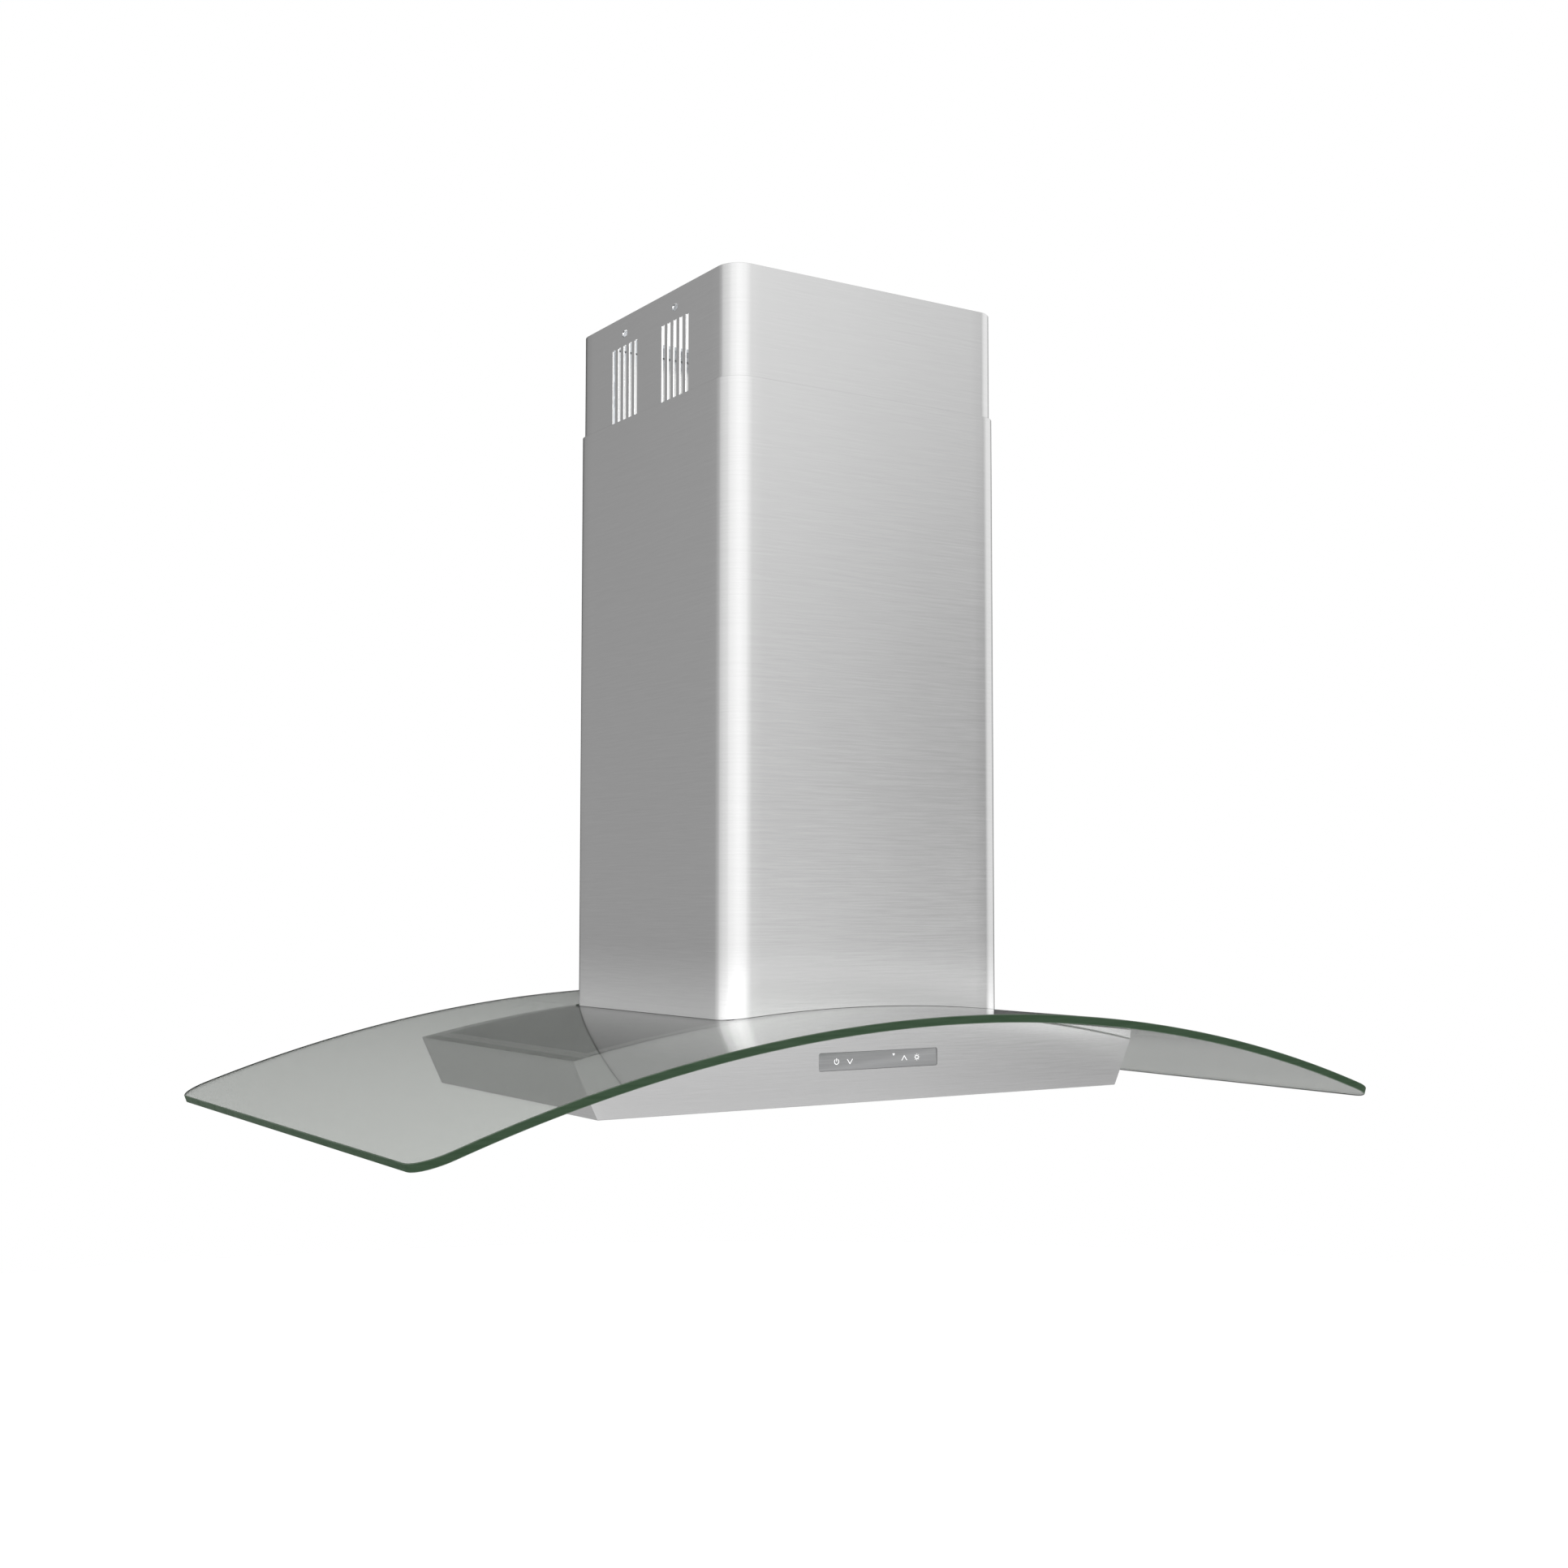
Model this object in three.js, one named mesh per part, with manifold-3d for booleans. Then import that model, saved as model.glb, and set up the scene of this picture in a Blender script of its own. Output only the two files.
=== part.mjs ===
// Island range hood: curved-glass canopy, stainless body and telescopic chimney,
// hung from a ceiling frame. Millimetres, +Z up, +X to the right, front towards -Y.
// Origin: centre of the ceiling plate's upper face. All heights below are written
// from the underside of the body (z = 0) and shifted down at the end by TOP_Z.
import * as THREE from 'three';
import { mergeVertices } from 'three/addons/utils/BufferGeometryUtils.js';
import Module from 'manifold-3d';

const wasm = await Module();
wasm.setup();

// ---------------------------------------------------------------- dimensions
const TOP_Z = 799.4;          // ceiling face above the body's underside
const GAP = 0.3;              // gap kept between touching pieces
// glass canopy
const GLASS_R = 1522.7;       // radius of the upper surface, axis along Y
const GLASS_APEX = 90.2;      // crest of the upper surface
const GLASS_T = 7.7;          // 8 mm nominal float glass
const GLASS_HALF_CHORD = 532.5;
const GLASS_HALF_DEPTH = 324;
const GLASS_CORNER = 29;      // plan corner radius
const CUT_X = 160.8, CUT_Y = 158.8, CUT_R = 4;   // half-size of the chimney cut-out
// duct covers
const LOW_X = 164.2, LOW_Y = 162.1, LOW_R = 25.5, LOW_TOP = 689.6;
const STEP = 2.5;             // upper cover is this much smaller on each side
const UP_X = LOW_X - STEP, UP_Y = LOW_Y - STEP, UP_R = LOW_R - STEP;
const UP_BOTTOM = 299.4, SHEET = 1.2;
const SLOT_W = 5.9, SLOT_PITCH = 12, SLOT_N = 5, SLOT_TOP = 768.5, SLOT_BOTTOM = 668.5;
const SLOT_GROUPS = [52.7, -52.7];
const HOLE_Z = 781, HOLE_W = 10.8, HOLE_H = 6.6;
// body
const BODY_Y = 172, BODY_X0 = 303.7, BODY_X1 = 326.5, BODY_T = 1.2;
const SEAL_T = 0.9;
const PANEL_X = 70, PANEL_Z0 = 31.3, PANEL_Z1 = 48.5;
const LIP = 10;
// support tray, posts
const TRAY_Z = 57, TRAY_T = 2, TRAY_X = 236, TRAY_Y = BODY_Y - BODY_T - 0.5;
const UPOST = { x: 150.5, y: 148.5, leg: 30, t: 2, z0: 300, z1: 795.6 };
const LPOST = { x: 147.9, y: 145.9, leg: 28, t: 2, z0: TRAY_Z + TRAY_T + GAP, z1: 640 };
const CLAMP_Z = 560;          // bolts that clamp the two sets of posts
const CLAMP_X = 133, SLOT_Z0 = 314, SLOT_Z1 = 668;   // long adjusting slots in the upper posts
const PLATE_T = 3.5, PLATE_X = 157, PLATE_Y = 155, PLATE_OPEN = 122;
// blower
const BOX_X = 132, BOX_Y = 112, BOX_Z0 = TRAY_Z + TRAY_T + GAP, BOX_Z1 = 300, BOX_T = 1.2;
const FAN_X = -8, FAN_Z = 172; // rotor axis, along Y
const COLLAR_R = 74.5, COLLAR_T = 1.8, COLLAR_TOP = 362;
const FLAP_Z = 332;
// filters and lamps
const FILT_X0 = 7, FILT_X1 = 228, FILT_Y = 128, FILT_T = 13;
const LAMP_X = 263.5, LAMP_Y = 108, LAMP_R = 24;
const SCREW_X = 297.7, SCREW_Y = 150;
const LEAF_Z = 1.5;           // underside panel rests this high, on the return lip
const LEAF_T = 1.2;

// ---------------------------------------------------------------- helpers
const V2 = (x, y) => new THREE.Vector2(x, y);
const V3 = (x, y, z) => new THREE.Vector3(x, y, z);

function solid(geo) {
  let g = geo.clone();
  for (const k of Object.keys(g.attributes)) if (k !== 'position') g.deleteAttribute(k);
  g.clearGroups();
  g = mergeVertices(g, 1e-4);
  // drop faces that have collapsed onto an edge
  const ix = g.index.array, keep = [];
  for (let i = 0; i < ix.length; i += 3) {
    const a = ix[i], b = ix[i + 1], c = ix[i + 2];
    if (a !== b && b !== c && a !== c) keep.push(a, b, c);
  }
  const m = new wasm.Manifold(new wasm.Mesh({
    numProp: 3, vertProperties: new Float32Array(g.attributes.position.array), triVerts: new Uint32Array(keep),
  }));
  return m.volume() < 0 ? flip(g, keep) : m;
}
function flip(g, keep) {
  const k = [];
  for (let i = 0; i < keep.length; i += 3) k.push(keep[i], keep[i + 2], keep[i + 1]);
  return new wasm.Manifold(new wasm.Mesh({
    numProp: 3, vertProperties: new Float32Array(g.attributes.position.array), triVerts: new Uint32Array(k),
  }));
}
function geometry(m) {
  const mesh = m.getMesh();
  const g = new THREE.BufferGeometry();
  g.setAttribute('position', new THREE.BufferAttribute(new Float32Array(mesh.vertProperties), 3));
  g.setIndex(new THREE.BufferAttribute(new Uint32Array(mesh.triVerts), 1));
  return g;
}
const box = (x0, y0, z0, x1, y1, z1) => {
  const g = new THREE.BoxGeometry(x1 - x0, y1 - y0, z1 - z0);
  g.translate((x0 + x1) / 2, (y0 + y1) / 2, (z0 + z1) / 2);
  return solid(g);
};
// cylinder along an axis: 'x', 'y' or 'z', from a to b
function cyl(axis, r, a, b, c1, c2, seg = 32, r2 = r) {
  const g = new THREE.CylinderGeometry(r2, r, b - a, seg);   // stands along +Y
  if (axis === 'z') { g.rotateX(Math.PI / 2); g.translate(c1, c2, (a + b) / 2); }
  if (axis === 'y') { g.translate(c1, (a + b) / 2, c2); }
  if (axis === 'x') { g.rotateZ(-Math.PI / 2); g.translate((a + b) / 2, c1, c2); }
  return solid(g);
}
function roundRectPts(hx, hy, r, seg = 6) {
  const p = [];
  const cs = [[hx - r, hy - r, 0], [-(hx - r), hy - r, 1], [-(hx - r), -(hy - r), 2], [hx - r, -(hy - r), 3]];
  for (const [cx, cy, q] of cs) {
    for (let i = 0; i <= seg; i++) {
      const t = (q + i / seg) * Math.PI / 2;
      p.push(V2(cx + r * Math.cos(t), cy + r * Math.sin(t)));
    }
  }
  return p;
}
const shapeOf = pts => new THREE.Shape(pts);
function extrudeZ(pts, z0, z1) {
  const g = new THREE.ExtrudeGeometry(shapeOf(pts), { depth: z1 - z0, bevelEnabled: false });
  g.translate(0, 0, z0);
  return solid(g);
}
// outline in (x, z), extruded along Y from y0 to y1
function extrudeY(pts, y0, y1) {
  const g = new THREE.ExtrudeGeometry(shapeOf(pts), { depth: y1 - y0, bevelEnabled: false });
  g.rotateX(Math.PI / 2);            // (x, y, z) -> (x, -z, y)
  g.translate(0, y1, 0);
  return solid(g);
}
// outline in (y, z), extruded along X from x0 to x1
function extrudeX(pts, x0, x1) {
  const g = new THREE.ExtrudeGeometry(shapeOf(pts), { depth: x1 - x0, bevelEnabled: false });
  g.applyMatrix4(new THREE.Matrix4().set(0, 0, 1, x0, 1, 0, 0, 0, 0, 1, 0, 0, 0, 0, 0, 1));
  return solid(g);
}
const rect = (x0, y0, x1, y1) => [V2(x0, y0), V2(x1, y0), V2(x1, y1), V2(x0, y1)];
// height of a curve concentric with the glass, off mm below its upper surface
const arc = (x, off = 0) => GLASS_APEX - GLASS_R + Math.sqrt((GLASS_R - off) ** 2 - x * x);
function arcPts(xa, xb, off, n) {
  const p = [];
  for (let i = 0; i <= n; i++) { const x = xa + (xb - xa) * i / n; p.push(V2(x, arc(x, off))); }
  return p;
}

const root = new THREE.Group();
const hood = new THREE.Group();
hood.position.z = -TOP_Z;
root.add(hood);
const steel = (c = 0xb9bbbd, r = 0.34) => new THREE.MeshStandardMaterial({ color: c, roughness: r, metalness: 0.95 });
const zinc = () => new THREE.MeshStandardMaterial({ color: 0xa9adb0, roughness: 0.5, metalness: 0.9 });
const plastic = (c = 0x1d1e20, r = 0.55) => new THREE.MeshStandardMaterial({ color: c, roughness: r, metalness: 0 });
function put(name, m, mat) {
  const parts = m.decompose ? m.decompose() : [m];
  if (parts.length !== 1) throw new Error(name + ' is ' + parts.length + ' bodies');
  const mesh = new THREE.Mesh(geometry(m), mat);
  mesh.name = name;
  hood.add(mesh);
  return mesh;
}

// ---------------------------------------------------------------- ceiling frame
{
  // open square plate with a folded rim, slots for the ceiling screws at the corners
  let p = extrudeZ(roundRectPts(PLATE_X, PLATE_Y, 20, 4), TOP_Z - PLATE_T, TOP_Z);
  const open = [];
  const o = PLATE_OPEN, c = 34;
  open.push(V2(o, -(o - c)), V2(o, o - c), V2(o - c, o), V2(-(o - c), o), V2(-o, o - c), V2(-o, -(o - c)), V2(-(o - c), -o), V2(o - c, -o));
  p = p.subtract(extrudeZ(open, TOP_Z - 20, TOP_Z + 5));
  for (const sx of [-1, 1]) for (const sy of [-1, 1]) {
    const g = roundRectPts(9, 3.5, 3.49, 3).map(v => V2(v.x + sx * 132, v.y + sy * 133));
    p = p.subtract(extrudeZ(g, TOP_Z - 20, TOP_Z + 5));
  }
  put('ceiling_plate', p, zinc());
}
const CORNERS = { fl: [-1, -1], fr: [1, -1], bl: [-1, 1], br: [1, 1] };
function angle(P, sx, sy, slots) {
  const { x, y, leg, t, z0, z1 } = P;
  const L = [V2(x, y), V2(x - leg, y), V2(x - leg, y - t), V2(x - t, y - t), V2(x - t, y - leg), V2(x, y - leg)]
    .map(v => V2(v.x * sx, v.y * sy));
  let m = extrudeZ(sx * sy > 0 ? L : L.reverse(), z0, z1);
  for (const [za, zb] of slots) {
    const xa = sx * CLAMP_X - 3.3, xb = sx * CLAMP_X + 3.3;
    m = m.subtract(box(xa, Math.min(sy * (y + 5), sy * (y - t - 5)), za, xb, Math.max(sy * (y + 5), sy * (y - t - 5)), zb));
  }
  return m;
}
for (const [k, [sx, sy]] of Object.entries(CORNERS)) {
  // upper angle: one long adjusting slot; lower angle: nests inside it
  put('upper_post_' + k, angle(UPOST, sx, sy, [[SLOT_Z0, SLOT_Z1]]), zinc());
  const P = LPOST;
  const low = angle(P, sx, sy, [[CLAMP_Z - 3.3, CLAMP_Z + 3.3]]);
  const foot = box(Math.min(sx * (P.x - 27), sx * P.x), Math.min(sy * (P.y - 27), sy * P.y), P.z0,
    Math.max(sx * (P.x - 27), sx * P.x), Math.max(sy * (P.y - 27), sy * P.y), P.z0 + 2);
  put('lower_post_' + k, low.add(foot), zinc());
}

// ---------------------------------------------------------------- duct covers
{
  const ring = (hx, hy, r, z0, z1) => extrudeZ(roundRectPts(hx, hy, r, 6), z0, z1)
    .subtract(extrudeZ(roundRectPts(hx - SHEET, hy - SHEET, r - SHEET, 6), z0 - 5, z1 + 5));
  let up = ring(UP_X, UP_Y, UP_R, UP_BOTTOM, TOP_Z - 0.2);
  for (const g of SLOT_GROUPS) {
    for (let i = 0; i < SLOT_N; i++) {
      const y = g + (i - (SLOT_N - 1) / 2) * SLOT_PITCH;
      const s = rect(-SLOT_W / 2, -(SLOT_TOP - SLOT_BOTTOM) / 2, SLOT_W / 2, (SLOT_TOP - SLOT_BOTTOM) / 2)
        .map(v => V2(v.x + y, v.y + (SLOT_TOP + SLOT_BOTTOM) / 2));
      up = up.subtract(extrudeX(s, -UP_X - 5, -UP_X + 5)).subtract(extrudeX(s, UP_X - 5, UP_X + 5));
    }
    const h = roundRectPts(HOLE_W / 2, HOLE_H / 2, HOLE_H / 2 - 0.01, 2).map(v => V2(v.x + g, v.y + HOLE_Z));
    up = up.subtract(extrudeX(h, -UP_X - 5, -UP_X + 5)).subtract(extrudeX(h, UP_X - 5, UP_X + 5));
  }
  put('upper_duct_cover', up, steel());
  // the lower cover's foot is cut to the curve of the glass
  let low = ring(LOW_X, LOW_Y, LOW_R, 60, LOW_TOP);
  const under = [V2(-300, 20), V2(300, 20), ...arcPts(300, -300, -GAP, 24)];
  low = low.subtract(extrudeY(under, -250, 250));
  put('lower_duct_cover', low, steel());
}

// ---------------------------------------------------------------- glass canopy
const A_END = Math.asin(GLASS_HALF_CHORD / GLASS_R);
function arcSheet(offTop, offBottom, halfAngle, y0, y1, n) {
  const p = [];
  const c = GLASS_APEX - GLASS_R;
  for (let i = 0; i <= n; i++) { const a = -halfAngle + 2 * halfAngle * i / n; const r = GLASS_R - offBottom; p.push(V2(r * Math.sin(a), c + r * Math.cos(a))); }
  for (let i = n; i >= 0; i--) { const a = -halfAngle + 2 * halfAngle * i / n; const r = GLASS_R - offTop; p.push(V2(r * Math.sin(a), c + r * Math.cos(a))); }
  return extrudeY(p, y0, y1);
}
{
  let g = arcSheet(0, GLASS_T, A_END, -GLASS_HALF_DEPTH, GLASS_HALF_DEPTH, 36);
  g = g.intersect(extrudeZ(roundRectPts(GLASS_HALF_CHORD, GLASS_HALF_DEPTH, GLASS_CORNER, 6), -60, 160));
  g = g.subtract(extrudeZ(roundRectPts(CUT_X, CUT_Y, CUT_R, 3), -60, 160));
  put('canopy_glass', g, new THREE.MeshStandardMaterial({ color: 0xb4beb4, roughness: 0.03, metalness: 0, transparent: true, opacity: 0.35 }));
}

// ---------------------------------------------------------------- body
const BODY_OFF = GLASS_T + SEAL_T + 2 * GAP;      // body's top below the glass's upper surface
const bodySide = off => {                          // half-profile x at height z, inset by off
  return { x0: BODY_X0 - off, x1: BODY_X1 - off };
};
function bodyOutline(inset, z0) {
  const { x0, x1 } = bodySide(inset);
  const pts = [V2(-x0, z0), V2(x0, z0)];
  // the side line runs from x0 at z = 0 to x1 where it meets the arch
  const top = BODY_OFF + inset;
  const zt = arc(x1, top);
  pts.push(V2(x1, zt));
  for (let i = 1; i < 24; i++) { const x = x1 - 2 * x1 * i / 24; pts.push(V2(x, arc(x, top))); }
  pts.push(V2(-x1, zt));
  return pts;
}
{
  let s = extrudeY(bodyOutline(0, 0), -BODY_Y, BODY_Y);
  let inner = extrudeY(bodyOutline(BODY_T, -0.001), -BODY_Y + BODY_T, BODY_Y - BODY_T)
    .subtract(box(-400, -300, -10, 400, 300, BODY_T));
  s = s.subtract(inner);
  // open underside with a return lip all round
  s = s.subtract(box(-BODY_X0 + LIP, -BODY_Y + LIP, -10, BODY_X0 - LIP, BODY_Y - LIP, 10));
  // chimney cut-out in the arched top, window for the touch panel
  s = s.subtract(extrudeZ(roundRectPts(CUT_X - 2, CUT_Y - 2, CUT_R, 3), 40, 160));
  s = s.subtract(extrudeY(roundRectPts(PANEL_X + GAP, (PANEL_Z1 - PANEL_Z0) / 2 + GAP, 2.2, 3)
    .map(v => V2(v.x, v.y + (PANEL_Z0 + PANEL_Z1) / 2)), -BODY_Y - 5, -BODY_Y + 8));
  put('body_shell', s, steel(0xb4b6b8));
}
{
  // bonding strip between the glass and the body's arched top
  const k = BODY_OFF - SEAL_T - GAP;
  let s = arcSheet(k, k + SEAL_T, Math.asin(318 / GLASS_R), -BODY_Y + 4, BODY_Y - 4, 24);
  s = s.subtract(extrudeZ(rect(-304, -BODY_Y + 18, 304, BODY_Y - 18), -60, 160));
  put('glass_bonding_strip', s, plastic(0x17181a, 0.7));
}
{
  // pressed tray across the body that carries the posts and the blower
  const top = TRAY_Z + TRAY_T;
  let t = box(-TRAY_X, -TRAY_Y, TRAY_Z, TRAY_X, TRAY_Y, top);
  // down-turned flanges that are spot-welded to the body's front and back walls
  for (const s of [-1, 1]) {
    const y0 = s > 0 ? TRAY_Y - 1.6 : -TRAY_Y, y1 = s > 0 ? TRAY_Y : -TRAY_Y + 1.6;
    // the front flange stops beside the touch panel's window
    if (s > 0) t = t.add(box(-TRAY_X, y0, 34, TRAY_X, y1, top));
    else t = t.add(box(-TRAY_X, y0, 34, -92, y1, top)).add(box(92, y0, 34, TRAY_X, y1, top));
  }
  t = t.subtract(box(-112, -96, 40, 112, 96, 90));
  // cable passage, beside the blower box
  t = t.subtract(cyl('z', 6, 40, 90, 139.5, 40, 16));
  put('support_tray', t, zinc());
}
{
  // underside panel: two filter openings and four lamp holes
  const hx = BODY_X0 - BODY_T - 2.4, hy = BODY_Y - BODY_T - 0.8;
  let p = box(-hx, -hy, LEAF_Z, hx, hy, LEAF_Z + LEAF_T);
  for (const s of [-1, 1]) {
    const a = s > 0 ? FILT_X0 - 1 : -FILT_X1 - 1, b = s > 0 ? FILT_X1 + 1 : -FILT_X0 + 1;
    p = p.subtract(box(a, -FILT_Y - 1, -5, b, FILT_Y + 1, 10));
    for (const q of [-1, 1]) {
      p = p.subtract(cyl('z', LAMP_R + 0.4, -5, 10, s * LAMP_X, q * LAMP_Y, 24));
      p = p.subtract(cyl('z', 2.3, -5, 10, s * SCREW_X, q * SCREW_Y, 12));
    }
  }
  // folded stiffening rims round the filter openings, standing up inside
  const h = LEAF_Z + LEAF_T;
  for (const y of [-FILT_Y - 3, FILT_Y + 1]) p = p.add(box(-FILT_X1 - 3, y, LEAF_Z, FILT_X1 + 3, y + 2, h + 9));
  for (const x of [-FILT_X1 - 3, FILT_X1 + 1, -1]) p = p.add(box(x, -FILT_Y - 3, LEAF_Z, x + 2, FILT_Y + 3, h + 9));
  // ledge that the rear edge of each filter hooks over, slots for the front latch bolts
  for (const s of [-1, 1]) {
    const c = s * (FILT_X0 + FILT_X1) / 2;
    p = p.subtract(box(c - 9, -FILT_Y - 8, h + 2, c + 9, -FILT_Y + 1, h + 7.5));
  }
  put('bottom_panel', p, steel(0xb4b6b8));
}
{
  // short screws that hold the panel to the return lip
  let n = 1;
  for (const [sx, sy] of Object.values(CORNERS)) {
    const x = sx * SCREW_X, y = sy * SCREW_Y;
    const head = cyl('z', 4, LEAF_Z + LEAF_T + GAP, LEAF_Z + LEAF_T + GAP + 2.4, x, y, 12);
    put('panel_screw_' + n++, head.add(cyl('z', 1.7, BODY_T + 0.2, LEAF_Z + LEAF_T + 1, x, y, 12)), steel(0xc4c6c8, 0.3));
  }
}

// ---------------------------------------------------------------- touch controls
{
  const w = PANEL_X, z0 = PANEL_Z0, z1 = PANEL_Z1;
  const face = extrudeY(roundRectPts(w, (z1 - z0) / 2, 2, 3).map(v => V2(v.x, v.y + (z0 + z1) / 2)), -BODY_Y, -BODY_Y + BODY_T + 0.6);
  const back = box(-w - 8, -BODY_Y + BODY_T + GAP, z0 - 5, w + 8, -BODY_Y + BODY_T + 2.2, z1 + 5);
  put('touch_panel', face.add(back), new THREE.MeshStandardMaterial({ color: 0x9a9d9f, roughness: 0.3, metalness: 0.6 }));
  const y = -BODY_Y + BODY_T + 2.2 + GAP;
  let b = box(-72, y, z0 - 3, 72, y + 1.6, z1 + 3);
  b = b.add(box(-66, y + 1.5, z0, -48, y + 9, z1 - 2)).add(box(10, y + 1.5, z0 + 3, 26, y + 4, z1 - 3)).add(box(50, y + 1.5, z0, 64, y + 8, z1));
  put('control_board', b, plastic(0x1f5a36, 0.6));
}

// ---------------------------------------------------------------- blower
{
  // open-bottomed box with its own flange, and a round outlet in the lid
  let b = box(-BOX_X, -BOX_Y, BOX_Z0, BOX_X, BOX_Y, BOX_Z1)
    .subtract(box(-BOX_X + BOX_T, -BOX_Y + BOX_T, BOX_Z0 - 5, BOX_X - BOX_T, BOX_Y - BOX_T, BOX_Z1 - BOX_T));
  b = b.add(box(-114, -BOX_Y - 10, BOX_Z0, 114, -BOX_Y + 1, BOX_Z0 + BOX_T)).add(box(-114, BOX_Y - 1, BOX_Z0, 114, BOX_Y + 10, BOX_Z0 + BOX_T));
  b = b.subtract(cyl('z', 72, BOX_Z1 - 8, BOX_Z1 + 8, 0, 0, 36));
  put('blower_box', b, zinc());
}
{
  // volute: a spiral casing on edge, with an inlet in each side and a throat at the top
  const y0 = -58, y1 = 58, t = 1.6;
  const spiral = inset => {
    const pts = [];
    const n = 40;
    // the wall starts at the tongue and opens out as it runs round under the wheel
    for (let i = 0; i <= n; i++) {
      const a = 0.30 * Math.PI - (1.62 * Math.PI) * i / n;      // clockwise from upper right
      const r = 84 + 26 * i / n - inset;
      pts.push(V2(FAN_X + r * Math.cos(a), FAN_Z + r * Math.sin(a)));
    }
    return pts;
  };
  const outline = inset => {
    const p = spiral(inset);
    const last = p[p.length - 1];
    const zt = BOX_Z1 - BOX_T - GAP;
    // throat runs straight up to the lid
    p.push(V2(-60 + inset, 262), V2(-60 + inset, zt + (inset ? 5 : 0)), V2(60 - inset, zt + (inset ? 5 : 0)), V2(60 - inset, 255));
    return p.reverse();
  };
  let v = extrudeY(outline(0), y0, y1).subtract(extrudeY(outline(t), y0 + t, y1 - t));
  v = v.subtract(cyl('y', 62, y0 - 5, y0 + 10, FAN_X, FAN_Z, 36)).subtract(cyl('y', 62, y1 - 10, y1 + 5, FAN_X, FAN_Z, 36));
  put('blower_scroll', v, plastic(0x2a2c2e, 0.6));
}
{
  // double-inlet wheel: hub disc in the middle, blades both ways, a ring at each end
  const r = 71, w = 48;
  let wheel = cyl('y', r - 1, -1.5, 1.5, FAN_X, FAN_Z, 24);
  const N = 16;
  const blades = [];
  for (let i = 0; i < N; i++) {
    const a = 2 * Math.PI * i / N;
    const g = new THREE.BoxGeometry(13.5, 2 * w, 1.4);
    g.rotateY(-0.6); g.translate(r - 7.6, 0, 0); g.rotateY(a); g.translate(FAN_X, 0, FAN_Z);
    blades.push(solid(g));
  }
  for (const b of blades) wheel = wheel.add(b);
  for (const s of [-1, 1]) {
    const a = s > 0 ? w - 2.5 : -w, b = a + 2.5;
    wheel = wheel.add(cyl('y', r, a, b, FAN_X, FAN_Z, 24).subtract(cyl('y', r - 13, a - 2, b + 2, FAN_X, FAN_Z, 24)));
  }
  wheel = wheel.add(cyl('y', 13, -14, 14, FAN_X, FAN_Z, 20)).subtract(cyl('y', 4.3, -20, 20, FAN_X, FAN_Z, 16));
  put('blower_wheel', wheel, plastic(0x3a3c3f, 0.5));
  const shaft = cyl('y', 4, -22, 98, FAN_X, FAN_Z, 16);
  put('motor_shaft', shaft, steel(0xc8cacc, 0.2));
  let motor = cyl('y', 40, 20, 92, FAN_X, FAN_Z, 28).add(cyl('y', 16, 90, 96, FAN_X, FAN_Z, 20)).add(cyl('y', 16, 15, 21, FAN_X, FAN_Z, 20));
  motor = motor.subtract(cyl('y', 4.4, 0, 120, FAN_X, FAN_Z, 16));
  for (let i = 0; i < 8; i++) {
    const a = Math.PI / 8 + i * Math.PI / 4;
    const g = new THREE.BoxGeometry(12, 44, 3);
    g.translate(38, 56, 0); g.rotateY(a); g.translate(FAN_X, 0, FAN_Z);
    motor = motor.subtract(solid(g));
  }
  put('motor_body', motor, plastic(0x6c7074, 0.5));
  // spider that carries the motor on the casing's rear side plate
  let br = cyl('y', 50, 58.3, 61.3, FAN_X, FAN_Z, 28).subtract(cyl('y', 40.4, 50, 70, FAN_X, FAN_Z, 28));
  for (let i = 0; i < 4; i++) {
    const g = new THREE.BoxGeometry(32, 3, 12);
    g.translate(63, 59.8, 0); g.rotateY(Math.PI / 4 + i * Math.PI / 2); g.translate(FAN_X, 0, FAN_Z);
    br = br.add(solid(g));
  }
  br = br.subtract(cyl('y', 40.4, 50, 70, FAN_X, FAN_Z, 28));
  put('motor_bracket', br, zinc());
  // run capacitor on the box's wall
  put('run_capacitor', cyl('z', 15, 110, 168, BOX_X - BOX_T - GAP - 15.2, 84, 24).add(cyl('z', 4, 166, 178, BOX_X - BOX_T - GAP - 15.2, 84, 12)), plastic(0xd8d9d6, 0.5));
}

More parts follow.
